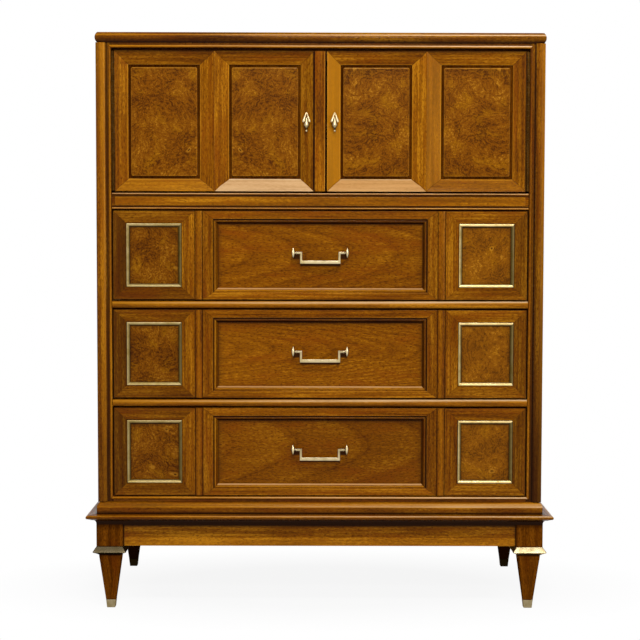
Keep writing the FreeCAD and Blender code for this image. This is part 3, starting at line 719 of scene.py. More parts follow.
def panel(shape, x, z, face, stack, corner, shift, turn=1.0, tone=0.0, sides=(1, 1, 1, 1)):
    """A panel that faces the front: rounded rectangles, from back to front, with rows of (inset,
    depth behind the face, glaze and painted shade) and the corner in millimetres. turn -1 mirrors
    the veneer, as in a book-matched pair. sides weighs the mark on the right, top, left and bottom
    edges by the squares of the cosine and sine of each point's direction, so that one edge, mostly
    the top, gets more painted shade."""
    middle = np.array([(x[0] + x[1]) / 2, (z[0] + z[1]) / 2])
    half = np.array([(x[1] - x[0]) / 2, (z[1] - z[0]) / 2])
    stack = np.asarray(stack, float) * (mm, mm, 1) + (0, face, 0)
    loops = []
    for inset, y, _ in stack:
        ring = rounded_square(*(half - inset), max(corner * mm - inset, 0.1 * mm), 5) + middle
        loops.append(np.insert(ring, 1, y, axis=1))
    loops = np.array(loops)
    closed = joined_up(loops)
    facing = (np.linspace(0, math.pi / 2, 6) + np.arange(4)[:, None] * math.pi / 2).ravel()
    facing = np.append(facing, facing[0])
    ways = np.stack([np.cos(facing), np.sin(facing), -np.cos(facing), -np.sin(facing)])
    weight = np.array(sides, float) @ np.clip(ways, 0, 1) ** 2

    def veneer(points):
        return points[..., [0, 2]] * (turn, 1.0) + shift

    shape.skin(closed, veneer(closed), stack[:, 2:3] * weight, tone)
    shape.lid(loops[0], veneer(loops[0]), stack[0, 2], tone)
    shape.lid(loops[-1], veneer(loops[-1]), stack[-1, 2], tone)


def turned(shape, profile, centre, axis, steps=20, tone=0.0, dark_flank_reflection=0.0):
    """Rows of (place along the axis, radius, glaze and painted light) spun round a line through
    centre. The flank setting darkens both sides, by the fourth power of the cosine, as a painted
    dark reflection."""
    profile = np.asarray(profile, float)
    turn = np.linspace(0, 2 * math.pi, steps + 1)
    flat = [k for k in range(3) if k != axis]
    points = np.empty((len(profile), steps + 1, 3))
    points[..., axis] = profile[:, :1]
    points[..., flat[0]] = profile[:, 1:2] * np.cos(turn)
    points[..., flat[1]] = profile[:, 1:2] * np.sin(turn)
    points = points + np.asarray(centre, float)
    grain = np.stack([points[..., axis], np.broadcast_to(turn * 0.004, points.shape[:2])], -1)
    shape.skin(points, grain, profile[:, 2:3] + dark_flank_reflection * np.cos(turn) ** 4, tone)
    for row, size in ((0, profile[0, 1]), (-1, profile[-1, 1])):
        if size > 0.01 * mm:
            shape.lid(points[row, :-1], grain[row, :-1], profile[row, 2], tone)


def column(shape, x, y, stations, tone=0.0):
    """A square column: rows of (height, half width, corner radius, glaze and painted shade) from the
    floor up, in millimetres."""
    stations = np.asarray(stations, float) * (mm, mm, mm, 1)
    loops = [np.insert(rounded_square(half, half, radius) + (x, y), 2, z, axis=1)
             for z, half, radius, _ in stations]
    tube(shape, loops, 2, np.argmax(stations[:, 1]), stations[:, 3], tone)


print("a rounded square has", len(rounded_square(1, 1, 0.1)), "points")

# %% [markdown]
# ## Places on the case
#
# The sizes of the case come from the measured pieces. A depth is counted backwards from the
# front of the corner posts, and everything on the front is placed by it.

# %% Where the front, the opening and the case are
post_low, post_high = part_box("corner_post_left")
case_front = post_low.y
case_half = -post_low.x
case_foot, case_head = post_low.z, post_high.z
opening_half = -post_high.x
bead_low, bead_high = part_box("opening_bead")
print("case front at", round(case_front, 5), "half width", round(case_half, 4))

# %% [markdown]
# ## Top and plinth boards
#
# Both boards have a rounded edge, run along the front and round the ends. In plan they are
# rectangles, so each is a stack of rectangles whose inset follows a circle's arc. One thin line
# on each nose is a painted highlight, and painted shade gathers under the edge.

# %% Boards made of layers
def layered(shape, x, y, layers, corner, along=0, cuts=(0, 1)):
    """Rectangles in plan at (height, inset, glaze and painted light), inset at the front and both
    ends but not at the back, with rounded corners. The grain runs along an axis, and each side is
    cut into parts."""
    loops = []
    for z, inset, _ in layers:
        half_wide, half_deep = (x[1] - x[0]) / 2 - inset, (y[1] - y[0] - inset) / 2
        ring = rounded_square(half_wide, half_deep, corner) + ((x[0] + x[1]) / 2, y[1] - half_deep)
        ring = np.concatenate([ring, ring[:1]])
        number = np.arange(len(ring))
        sides = [4 * k - 1 + np.array(cuts) for k in (1, 2, 3, 4)]
        finer = np.unique(np.concatenate([number, *sides]))
        ring = np.stack([np.interp(finer, number, ring[:, k]) for k in (0, 1)], 1)[:-1]
        loops.append(np.insert(ring, 2, z, axis=1))
    loops = np.array(loops)
    closed = joined_up(loops)
    shift = shape.next_board()
    grain = np.stack([closed[..., along], closed[..., 1 - along] + closed[..., 2]], -1) + shift
    shape.skin(closed, grain, np.array(layers)[:, 2:3])
    for row in (0, -1):
        shape.lid(loops[row], loops[row][:, [along, 1 - along]] + shift, layers[row][2])


# %% Top and plinth boards
nose_steps = 24


def nosed_board(name, rise, square_foot, shade_heights, shades):
    """Layers whose inset is R - sqrt(R^2 - h^2), with h from the middle and R from width and rise.
    The plinth's lower half is upright. Shades are values of the mark at heights from -1 to 1:
    painted highlights on the nose and painted shade under it."""
    low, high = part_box(name)
    shape = Shape()
    half_thick = (high.z - low.z) / 2
    radius = (half_thick ** 2 + rise ** 2) / (2 * rise)
    up = np.sin(np.linspace(-1, 1, nose_steps) * math.pi / 2)
    heights = up * half_thick
    if square_foot:
        heights = np.maximum(heights, 0)
    insets = radius - np.sqrt(radius ** 2 - heights ** 2)
    middle = (low.z + high.z) / 2
    layers = np.stack([middle + up * half_thick, insets, np.interp(up, shade_heights, shades)], 1)
    layered(shape, (low.x, high.x), (low.y, high.y), layers.tolist(), 3.5 * mm,
            cuts=np.linspace(0, 1, 21))
    shape.highlight_by_width()
    make(shape, name + "_nosed", walnut_golden, "case", "walnut", name)


nosed_board("top_board", 4.5 * mm, False, (-1, -0.75, -0.2, 0.28, 0.4, 0.52, 0.66, 1),
            (1.0, 0.85, 0.42, 0.36, -0.7, -1.7, 0.1, 0.3))
nosed_board("plinth_board", 9 * mm, True, (-1, -0.86, -0.6, 0.0, 0.08, 0.2, 0.34, 0.7, 0.95, 1),
            (1.0, 0.85, 0.3, 0.2, -0.6, -1.0, -0.6, -0.5, 0.2, 0.8))

# %% [markdown]
# ## Sides, posts and the bead round the opening
#
# The corner posts have a gently convex face, painted lighter towards its right side and darker
# towards its left, as painted light from the right. Between the post and the half-round bead lies
# a deep quirk, dark with glaze and painted shade, and it is this pair of dark lines that frames
# the whole front.

# %% Sides and corner posts
post_face, post_crown, ledge, post_back = 20.0, 3.0, 6.0, 22.0
ledge_edge = (case_half - opening_half) / mm
quirk_places = (post_face, 21.5, 24.0, 26.5)


def side_panels():
    for name in ("side_panel_left", "side_panel_right"):
        shape = Shape()
        block(shape, *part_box(name), axis=2, ease=0.5 * mm)
        make(shape, name + "_board", walnut_golden, "case", "walnut", name)


def corner_post(name, side, quirk, shades, tones_and_light):
    """The face's shades go across it as painted light and shade, the quirk's glaze and painted shade
    is given at four places across it, and the tones, painted shade towards the floor, at three
    heights.
    """
    section = eased([[0, post_back, 0.3, 0.4], [0, post_crown + 0.5, 1.2, shades[0]],
                     *swell(0.6, post_face - 0.4, post_crown, post_crown, shades=shades),
                     [post_face, post_crown, 0.4, 0.5],
                     *[[place, ledge, 0, glaze] for place, glaze in zip(quirk_places, quirk)],
                     [ledge_edge, ledge, 0.3, 0.9], [ledge_edge, post_back, 0.2, 0.9]])
    shape = Shape()
    edge = -side * case_half
    bar(shape, section, (edge, case_front, case_foot), (edge, case_front, case_head), (side, 0, 0), 2)
    shape.tone_and_shade_along(2, [0.3, 0.8, 1.15], tones_and_light)
    make(shape, name + "_turned", walnut_golden, "case", "walnut", name)


side_panels()
corner_post("corner_post_left", 1, (0.3, 0.65, 0.9, 0.3), (0.3, -0.4), (-0.42, -0.08, 0.24))
corner_post("corner_post_right", -1, (1, 0.95, 0.3, 0.1), (-0.5, 0.45), (-0.8, -0.42, 0.04))

# %% The bead, and the rails behind it
bead_width, bead_rise = 7.0, 3.5


def opening_bead():
    """The bead gets a painted highlight on the upper flanks of its top and bottom, less on its left
    side and hardly at all on its right. Rows of highlight, lean and fade are for left, right,
    bottom and top."""
    rows = ((0.9, -0.15, 1.5), (0.1, -0.5, 1.5), (1.3, 0.15, 6), (1.4, -0.4, 6))
    sections = [eased(arch(0, bead_width, ledge, bead_rise, 1.0, wear_and_highlight=wear_and_highlight, lean=lean, far=far))
                for wear_and_highlight, lean, far in rows]
    shape = Shape()
    mitred_ring(shape, (bead_low.x, bead_high.x), (bead_low.z, bead_high.z), case_front, sections,
                tones_and_light=(-0.1, -0.1, 0, 0), between=12)
    shape.highlight_by_width()
    make(shape, "opening_bead_mitred", walnut_golden, "case", "walnut", "opening_bead")


opening_bead()

# %% [markdown]
# ## Rails between the drawers and under the doors
#
# The drawers are parted by half-round rails, which catch one long bright line of light. Under
# the doors lies a flat rail with a bead along both edges and a thin fascia between two quirks.

# %% Half-round rails
rail_height, rail_proud, rail_highlight = 16.0, 1.0, 1.5
rail_leans = (0.55, 0.55, 0.65, 0.85, 1.15)


def drawer_rails():
    """The painted highlight on each rail leans further up towards the right: the eighth power of the
    sine of the angle round the rail, less the lean at that width."""
    low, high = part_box("drawer_rails")
    radius = rail_height / 2
    section = eased([[0, post_back, 0, 1],
                     *arch(0, rail_height, radius - rail_proud, radius, steps=22, wear_and_highlight=0.0, far=10),
                     [rail_height, post_back, 0, 1]])
    shape = Shape()
    feet = (low.z, high.z - rail_height * mm)
    for foot in feet:
        bar(shape, section, (low.x, case_front, foot), (high.x, case_front, foot), (0, 0, 1), 0,
            tone=0.1, between=12)
    for k, points in enumerate(shape.points):
        above = points[:, 2] - (feet[0] if points[0, 2] < feet[1] - 1 * mm else feet[1])
        angle = np.arccos(np.clip(1 - 2 * above / (rail_height * mm), -1, 1))
        crest = np.clip(np.sin(angle - np.interp(points[:, 0], highlight_x, rail_leans)), 0, 1) ** 8
        shape.glaze[k] = shape.glaze[k] - rail_highlight * crest
    shape.highlight_by_width()
    make(shape, "drawer_rails_rounded", walnut_golden, "case", "walnut", "drawer_rails")


drawer_rails()

# %% The rail under the doors
rail_bead, rail_bead_rise, rail_quirk, fascia_end, fascia_rise = 4.5, 2.5, 4.0, 7.5, 2.0


def door_rail():
    low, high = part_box("door_rail")
    tall = (high.z - low.z) / mm
    back = (high.y - case_front) / mm
    edge = rail_bead + rail_quirk
    # The two beads get painted highlights on their crests, and the quirks beside them glaze and painted
    # shade.
    section = eased([[0, back, 0, 0.5], *arch(0, rail_bead, ledge, rail_bead_rise, wear_and_highlight=0.9, lean=0.4),
                     [rail_bead + 1.2, ledge, 0, 0.9], [edge - 0.6, ledge, 0, 0.5], [edge, ledge, 0, 1],
                     [edge + 0.6, ledge, 0, 0.1], [tall - edge - 0.6, ledge, 0, 0.1],
                     [tall - edge, ledge, 0, 1], [tall - edge + 0.6, ledge, 0, 0.5],
                     [tall - rail_bead - 1.2, ledge, 0, 0.9],
                     *arch(tall - rail_bead, tall, ledge, rail_bead_rise, wear_and_highlight=1.3, lean=0.4),
                     [tall, back, 0, 0.5]])
    shape = Shape()
    bar(shape, section, (low.x, case_front, low.z), (high.x, case_front, low.z), (0, 0, 1), 0,
        between=12)
    x = (low.x + fascia_end * mm, high.x - fascia_end * mm)
    z = (low.z + edge * mm, high.z - edge * mm)
    face = case_front + (ledge - fascia_rise) * mm
    # The fascia's edges get a painted highlight, and its foot glaze and painted shade.
    stack = [[0, fascia_rise, 1], [0, 0.5, 0.4], [0.15, 0.15, 0], [0.5, 0, -0.4], [1.2, 0, 0]]
    panel(shape, x, z, face, stack, 0.6, shape.next_board(), tone=0.15)
    make(shape, "door_rail_moulded", walnut_golden, "case", "walnut", "door_rail")


door_rail()

# %% [markdown]
# ## The base
#
# A moulded frame with a thin rounded nose over a cove carries the case. Its shadow on the frieze
# below is the darkest line of the whole piece, and it is painted as dark marks on the cove and on
# the top of the aprons. It is one section carried along the left side, the front and the right
# side, with mitres at the front corners.

# %% Base moulding
base_height, nose_radius, cove_radius, base_slope, base_wash, base_inner = 24.0, 4.0, 8.0, 3.5, 1.5, 62.0
nose_highlight_angle = math.radians(58)


def base_section(reach):
    """Corners of the moulding: outwards from the frieze and up, with the cove and nose as arcs.
    The cove is painted nearly black as painted shadow, and the nose gets a painted highlight where
    it faces up and out, as the eighth power of a cosine."""
    nose_middle = base_height - base_wash - nose_radius
    nose_foot = nose_middle - nose_radius
    cove_head = nose_foot - base_slope
    nose_start = reach - nose_radius
    bend = np.linspace(0, math.pi / 2, 6)
    cove = np.stack([cove_radius * (1 - np.cos(bend)), cove_head - cove_radius * (1 - np.sin(bend)),
                     0 * bend, 1 - 0.05 * bend], 1)
    round_nose = np.linspace(-math.pi / 2, math.pi / 2, 13)
    nose = np.stack([nose_start + nose_radius * np.cos(round_nose),
                     nose_middle + nose_radius * np.sin(round_nose), 0 * round_nose,
                     0.4 - 0.15 * np.minimum(np.sin(round_nose), 0)
                     - 1.8 * np.clip(np.cos(round_nose - nose_highlight_angle), 0, 1) ** 8], 1)
    return eased([[-base_inner, 0, 0, 0.5], [0, 0, 0, 1], *cove.tolist(), *nose.tolist(),
                  [5, base_height - base_wash * 5 / nose_start, 0, 0.3], [2, base_height - 0.2, 0, 1],
                  [0, base_height, 0, 1], [-base_inner, base_height, 0, 0.5]])


def base_moulding():
    low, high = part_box("base_moulding")
    legs_low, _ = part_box("legs")
    half, front = -legs_low.x, legs_low.y
    section = base_section((front - low.y) / mm)
    out, up, glaze = section[:, 0], low.z + section[:, 1], section[:, 2]

    def corner(x, y):
        return np.stack([np.broadcast_to(x, up.shape), np.broadcast_to(y, up.shape), up], 1)

    rear_left, rear_right = corner(-half - out, high.y), corner(half + out, high.y)
    front_left, front_right = corner(-half - out, front - out), corner(half + out, front - out)
    shape = Shape()
    board(shape, front_left, rear_left, glaze, 1)
    board(shape, front_left, front_right, glaze, 0, between=16)
    board(shape, front_right, rear_right, glaze, 1)
    for loop in (rear_left, rear_right):
        shape.lid(loop, loop[:, [0, 2]], 0.3)
    inner = half - base_inner * mm
    block(shape, (-inner, high.y - base_inner * mm, low.z), (inner, high.y, high.z), 0)
    shape.highlight_by_width()
    make(shape, "base_moulding_mitred", walnut_golden, "case", "walnut", "base_moulding")


base_moulding()

# %% [markdown]
# ## Aprons and legs
#
# Each leg is a square block, a brass collar and a tapered square foot that ends in a brass
# ferrule. The edges are slightly rounded, and the wood of the legs is redder than the case. The
# lower part of the aprons is painted lighter up to a clear line, with the painted shadow of the
# base above it, and the legs of the rear are painted nearly black as painted shade.

# %% Aprons between the leg blocks
block_size, apron_thick, apron_setback, shadow_line_height = 57.0 * mm, 20.0 * mm, 9.5 * mm, 18.0 * mm


def aprons():
    """A dark line of painted shade stands at each end of the front and rear aprons, beside the leg's
    block. The top is painted dark as the base's shadow, and below a line the apron is painted
    lighter.
    """
    low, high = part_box("legs")
    foot, head = [corner.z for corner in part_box("aprons")]
    shape = Shape()
    inner = high.x - block_size
    line_foot, line_head = foot + shadow_line_height, foot + shadow_line_height + 1.5 * mm
    layers = [[foot, 0.6 * mm, -0.2], [foot + 0.6 * mm, 0, -0.4], [foot + 2 * mm, 0, 0],
              [line_foot, 0, 0], [line_head, 0, 0], [head - 12 * mm, 0, 0.05],
              [head - 7 * mm, 0, 0.35], [head - 3 * mm, 0, 0.9], [head, 0, 1]]
    ends = (0, 0.002, 0.004, 0.996, 0.998, 1)
    for y in (low.y + apron_setback, high.y - apron_setback - apron_thick):
        layered(shape, (-inner, inner), (y, y + apron_thick), layers, 0.3 * mm, cuts=ends)
    for x in (-high.x + apron_setback, high.x - apron_setback - apron_thick):
        layered(shape, (x, x + apron_thick), (low.y + block_size, high.y - block_size), layers,
                0.3 * mm, 1)
    for k, points in enumerate(shape.points):
        aside = np.abs(points[:, 0])
        line = np.interp(aside, [inner - 3.5 * mm, inner - 1.8 * mm], [-1, 1])
        shape.glaze[k] = np.maximum(shape.glaze[k], line * (aside < inner + 1 * mm))
    shape.tone_and_shade_along(2, [foot, line_foot, line_head, head], [0.25, 0.1, -0.24, -0.1])
    make(shape, "aprons_eased", walnut_golden, "case", "walnut", "aprons")


aprons()

# %% Legs, collars and ferrules
leg_low, leg_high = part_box("legs")
collar_low, collar_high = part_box("leg_collars")
ferrule_low, ferrule_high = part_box("leg_ferrules")
leg_places = [(x, y) for x in (leg_low.x + block_size / 2, leg_high.x - block_size / 2)
              for y in (leg_low.y + block_size / 2, leg_high.y - block_size / 2)]


def on_each_leg(stations, left, right, rear):
    """The same column at each leg, with one tone for the left, the right and the rear legs: painted
    shade and painted dark reflections.
    """
    shape = Shape()
    for x, y in leg_places:
        column(shape, x, y, stations, rear if y > 0 else (left if x < 0 else right))
    return shape


def square_legs():
    """Block, neck, taper and tenon of each leg, as one closed column."""
    foot, ankle, neck = leg_low.z / mm, ferrule_high.z / mm, collar_low.z / mm
    head, top, half = collar_high.z / mm, leg_high.z / mm, block_size / 2 / mm
    # Glaze and painted shade darken the leg where it meets the ferrule and the collar, and the top of
    # the block under the base.
    shape = on_each_leg([
        [foot, 6.4, 0.5, 1], [ankle, 6.4, 0.5, 1], [ankle, 10.6, 0.8, 0.9],
        [ankle + 2, 10.9, 0.8, -0.08], [neck - 5, 23.4, 1.2, 0], [neck, 24, 1.2, 0.95],
        [neck, 22, 0.8, 1], [head, 22, 0.8, 1],
        [head, half - 0.4, 0.8, 0.9], [head + 0.5, half, 0.9, 0.5], [head + 3, half, 0.9, 0],
        [top - 8, half, 0.9, 0.1], [top, half, 0.9, 0.7]], left=0.0, right=-0.2, rear=-0.9)
    make(shape, "legs_tapered", walnut_russet, "case", "walnut", "legs")


def collars():
    """A steep slope down to a thin lip, and a hollow underside that meets the leg."""
    half = (collar_high.x - leg_places[-1][0]) / mm
    foot, head = collar_low.z / mm, collar_high.z / mm
    lip = head - 10
    # Left collars are painted darker than the right, as a painted dark reflection, and the rear ones
    # darkest, as painted shade.
    shape = on_each_leg([
        [foot, 22.2, 0.8, 1], [foot, 24, 1.0, 0.8], [foot + 1.5, 26.5, 1.2, 0.6],
        [foot + 3.6, 30, 1.5, 0.5], [foot + 5.4, 34, 1.6, 0.3], [lip - 2.3, half - 0.5, 1.8, 0.1],
        [lip - 1.3, half, 1.8, 0], [lip - 0.3, half - 0.3, 1.7, 0], [lip + 0.8, half - 1.4, 1.5, 0.2],
        [lip + 4, half - 3.4, 1.4, 0.35], [head - 2.2, 29.8, 1.2, 0.35], [head - 0.8, 28.9, 1.0, 0.6],
        [head, 28.6, 1.0, 0.9], [head, 22.2, 0.8, 1]], left=-0.84, right=-0.24, rear=-1.0)
    make(shape, "leg_collars_flared", antique_brass, "case", "antique_brass", "leg_collars")


def ferrules():
    foot, head = ferrule_low.z / mm, ferrule_high.z / mm
    # All ferrules are painted darker, and the rear ones darkest, as painted shade.
    shape = on_each_leg([
        [foot, 8.2, 0.8, 0.6], [foot + 0.3, 8.8, 1.0, 0.3], [foot + 1, 9.05, 1.0, 0],
        [head - 1.4, 10.6, 1.0, 0], [head - 0.5, 10.75, 1.0, 0], [head, 10.5, 0.9, 0.4],
        [head, 6.5, 0.5, 1]], left=-0.58, right=-0.58, rear=-1.0)
    make(shape, "leg_ferrules_cast", antique_brass, "case", "antique_brass", "leg_ferrules", sharp=50)


square_legs()
collars()
ferrules()

# %% [markdown]
# ## Drawer fronts
#
# A drawer front is a board faced with a stepped frame in the middle, a half-round strip on each
# side of it, and at each end a flat frame round a thin brass frame with a burl panel in it. The
# field in the middle is flat sawn, with long arches of grain.

# %% Sections of the drawer's frames
drawer_face, board_front = 3.0, 12.0
centre_half, strip_width, strip_crown = 254.0, 17.3, 2.5
centre_widths = (32.5, 32.5, 25.5, 28.0)
brass_width, brass_height, brass_band, burl_face = 119.0, 137.0, 6.5, 7.0
stile_crest, rail_crests = 2.2, {-1: 2.4, 1: 3.9}
field_rise, spindle_tail, spindle_radius = 0.3, 10.5, 3.0
# Marks of the centre frame's left, right, bottom and top members, for the quirk, the bead and the slope:
# glaze with painted shade, dark on the top member as painted shadow and pale on the bottom step as a
# painted highlight. The end frames' and brass frames' tones are painted light and shade, with the
# brass's right members darkest as a painted dark reflection.
centre_shades = ((0.75, 0.5, 0.3), (0.95, -0.3, 0.7), (0.12, 0.5, -0.9), (1.0, -1.0, 1.0))
end_tones_and_light = {-1: (-0.62, -0.1, -0.36, -0.32), 1: (-0.14, -0.48, -0.2, -0.14)}
brass_painted_reflections = {-1: (-0.6, -0.85, -0.45, -0.35), 1: (-0.4, -0.85, 0, 0)}


def centre_section(width, quirk_glaze_and_shade, wear_and_highlight, slope):
    """A flat face, a quirk, a small bead and a slope down to the sunk field, with the glaze and
    painted shade of the quirk, the wear and painted highlight of the bead, and the glaze and painted
    shade of the slope."""
    step = width - 4.0
    bead = step - 4.0
    flat = bead - 3.0
    return eased([[0, board_front, 0, 0.7], [0, drawer_face, 0.5, 0.35], [1.2, drawer_face, 0, 0],
                  [flat - 1, drawer_face, 0, 0], [flat, drawer_face, 0.5, -0.3],
                  [flat + 0.4, 5.5, 0, quirk_glaze_and_shade], [bead, 5.5, 0, quirk_glaze_and_shade],
                  *arch(bead, step, 5.5, 1.8, 0.7 * quirk_glaze_and_shade, 6, wear_and_highlight),
                  [step + 0.3, 5.8, 0, 0.8 * quirk_glaze_and_shade], [step + 0.8, 6.4, 0, slope],
                  [width - 1.0, 10.4, 0.3, slope], [width - 0.3, 11.2, 0.3, 0.8 * quirk_glaze_and_shade],
                  [width, board_front, 0, 1]])


def flat_section(width):
    return eased([[0, board_front, 0, 0.8], [0, drawer_face, 0.5, 0.5], [1.3, drawer_face, 0, 0],
                  [width - 1.5, drawer_face, 0, 0.1], [width, drawer_face, 0.3, 1],
                  [width, board_front, 0, 1]])


def brass_section(crest):
    """A flat crest that turns over a rounded edge and slopes down to the burl. It is wider on the
    rails than on the stiles. Its outer edge and the foot of the slope are dark with patina and
    painted shade."""
    return eased([[0, board_front, 0, 1], [0, 2.5, 0.3, 1], [0.7, 2.0, 0.3, 0.2], [1.3, 2.0, 0.3, 0],
                  [crest, 2.0, 0.7, 0], [crest + 1.2, 3.2, 0.6, 0.2], [5.7, 4.6, 0.4, 0.8],
                  [brass_band, 5.0, 0.2, 1], [brass_band, board_front, 0, 1]])


# Both sides of each strip are dark with glaze and painted shade, and its crest gets a faint painted
# highlight.
strip_section = eased([[0, board_front, 0, 1], [0, drawer_face + 1.0, 0, 1],
                       *arch(0.4, strip_width - 0.4, drawer_face + 0.6, strip_crown + 0.6,
                             steps=12, wear_and_highlight=0.12),
                       [strip_width, drawer_face + 1.0, 0, 1], [strip_width, board_front, 0, 1]])
print("a strip's section has", len(strip_section), "points")

# %% Faces of the three drawers
field_arches = {1: (40.0, 9.0), 2: (95.0, 15.0), 3: (25.0, 7.0)}
# The fields are painted darker towards the right and on the lowest drawer, as painted shade.
field_tones_and_shade = {1: (0.0, -0.16), 2: (0.05, -0.1), 3: (-0.14, -0.3)}


def drawer_front(number):
    name = "drawer_%d" % number
    low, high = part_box(name + "_front_board")
    front = low.y - board_front * mm
    half, centre = high.x, centre_half * mm
    field = Shape()
    veneer = np.array([number * 1.9, -(low.z + high.z) / 2])
    stack = [[0, (high.y - low.y) / mm, 0.2], [0, 0.5, 0.2], [0.15, 0.15, 0.1], [0.5, 0, 0], [8, 0, 0]]
    panel(field, (-half, half), (low.z, high.z), low.y, stack, 0.6, veneer)
    left, right, bottom, top = [w * mm for w in centre_widths]
    # The sunk field is darkened round its edge by glaze and painted shade, most under the top member and
    # least at the bottom.
    stack = [[0, field_rise, 1], [0, 0, 1], [0.6, 0, 0.7], [3, 0, 0.35], [9, 0, 0.12], [20, 0, 0]]
    panel(field, (left - centre, centre - right), (low.z + bottom, high.z - top),
          low.y - field_rise * mm, stack, 0.2, veneer, sides=(0.7, 1.0, 0.9, 0.2))
    field.tone_and_shade_along(0, (-0.2, 0.2), field_tones_and_shade[number])
    # Its finish also paints the shadow of the pull on the field.
    finish = walnut(name + "_flat_sawn", golden,
                    arches=((number * 1.9, 0.004 * number), *field_arches[number]),
                    pull_height=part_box(name + "_pull_posts")[0].z + spindle_tail * mm)
    make(field, name + "_field", finish, name, "walnut", name + "_front_board")

    frames, brass, panels = Shape(number * 13), Shape(number * 13), Shape(number * 13)
    z = (low.z, high.z)
    rings = [centre_section(w, *shades) for w, shades in zip(centre_widths, centre_shades)]
    mitred_ring(frames, (-centre, centre), z, front, rings, tones_and_light=(-0.18, -0.26, 0.0, 0.0), between=6)
    end_width = half - centre - strip_width * mm
    margin_x, margin_z = (end_width / mm - brass_width) / 2, ((high.z - low.z) / mm - brass_height) / 2
    for side in (-1, 1):
        ends = [(side * centre, front, height) for height in z]
        bar(frames, strip_section, *ends, (side, 0, 0), 2)
        x = sorted((side * half, side * (half - end_width)))
        stile, rail = flat_section(margin_x), flat_section(margin_z)
        mitred_ring(frames, x, z, front, [stile, stile, rail, rail], tones_and_light=end_tones_and_light[side], joint=0.6)
        inner_x = (x[0] + margin_x * mm, x[1] - margin_x * mm)
        inner_z = (z[0] + margin_z * mm, z[1] - margin_z * mm)
        stile, rail = brass_section(stile_crest), brass_section(rail_crests[side])
        mitred_ring(brass, inner_x, inner_z, front, [stile, stile, rail, rail], tones_and_light=brass_painted_reflections[side],
                    joint=0.4)
        band = brass_band * mm
        burl_x, burl_z = (inner_x[0] + band, inner_x[1] - band), (inner_z[0] + band, inner_z[1] - band)
        # The burl is darkened round its edge, most at the top, by glaze and painted shade, and its tone
        # is painted darker on the left end and lighter on the right.
        stack = [[0, board_front - burl_face, 1], [0, 0, 1], [1.2, 0, 0.7], [3.5, 0, 0.25], [12, 0, 0],
                 [20, 0, 0]]
        panel(panels, burl_x, burl_z, front + burl_face * mm, stack, 0.3,
              np.array([number * 2.3 + side * 0.4, number * 1.1]), turn=side,
              tone=-0.03 + 0.1 * side, sides=(0.8, 1.2, 0.8, 0.3))
    make(frames, name + "_frames", walnut_golden, name, "walnut", name + "_face_frames")
    make(brass, name + "_brass_mitred", dull_brass, name, "antique_brass", name + "_brass_frames")
    make(panels, name + "_burl", burl_veneer, name, "burl_veneer", name + "_burl_panels")


for number in (1, 2, 3):
    drawer_front(number)

# %% [markdown]
# ## Drawer boxes
#
# The boxes are pale wood with two sides, a back and a thin bottom. They are only seen when a
# drawer is out, and then their top edges show most, so each board has its edges eased.

# %% Boards of the boxes
box_board, floor_board, floor_rise = 12.0 * mm, 5.0 * mm, 9.0 * mm


def drawer_box(number):
    name = "drawer_%d" % number
    low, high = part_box(name + "_box")
    shape = Shape()
    inner = high.x - box_board
    for x in (-high.x, inner):
        block(shape, (x, low.y, low.z), (x + box_board, high.y, high.z), 1)
    floor = low.z + floor_rise
    block(shape, (-inner, high.y - box_board, floor + floor_board), (inner, high.y, high.z), 0)
    block(shape, (-inner, low.y, floor), (inner, high.y, floor + floor_board), 0, 0.3 * mm)
    make(shape, name + "_box_boards", oak_mapped, name, "secondary_wood", name + "_box")


for number in (1, 2, 3):
    drawer_box(number)

# %% [markdown]
# ## Pulls
#
# Two pointed spindles stand on flared stems. A square bail hangs between them: short stubs with
# a small disc, two arms, and a deeper grip. The bail is a band between two outlines, an outer and
# an inner one, so its corners stay square while its edges are softened.

# %% Spindles and bails
pull_span, grip_drop, arm_x, stub_end = 116.6, 20.0, 41.3, 51.0
half_bar, half_grip, stem_length = 2.4, 3.6, 18.0


def pull_posts(number):
    name = "drawer_%d" % number
    low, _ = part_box(name + "_pull_posts")
    board_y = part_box(name + "_front_board")[0].y
    axis_y = low.y + spindle_radius * mm
    axis_z = low.z + spindle_tail * mm
    shape = Shape()
    spindle = np.array([[-spindle_tail, 0, 0.6], [-9.4, 1.056, 0.5], [-7.0, 2.024, 0.3],
                        [-3.5, 2.904, 0.1], [0, 3.344, 0], [2.5, 3.256, 0], [5.0, 2.64, 0],
                        [7.5, 1.76, 0.1], [9.6, 0.968, 0.3], [11.0, 0.44, 0.5], [11.5, 0, 0.6]])
    stem = np.array([[0, 1.6, 0.5], [3, 2.2, 0.3], [10, 2.6, 0.5], [14.5, 3.1, 0.6], [17.2, 4.0, 0.6],
                     [stem_length, 3.8, 1]])
    shortened = min(1.0, (board_y - axis_y) / stem_length / mm)
    for side in (-1, 1):
        centre = (side * pull_span / 2 * mm, axis_y, axis_z)
        # Each spindle's sides are painted dark, as a painted dark reflection.
        turned(shape, spindle * (mm, mm, 1), centre, 2, dark_flank_reflection=1.5)
        turned(shape, stem * (mm, mm, 1) * (shortened, 1, 1), centre, 1)
    make(shape, name + "_spindles", antique_brass, name, "antique_brass", name + "_pull_posts", sharp=60)
    return axis_y, axis_z


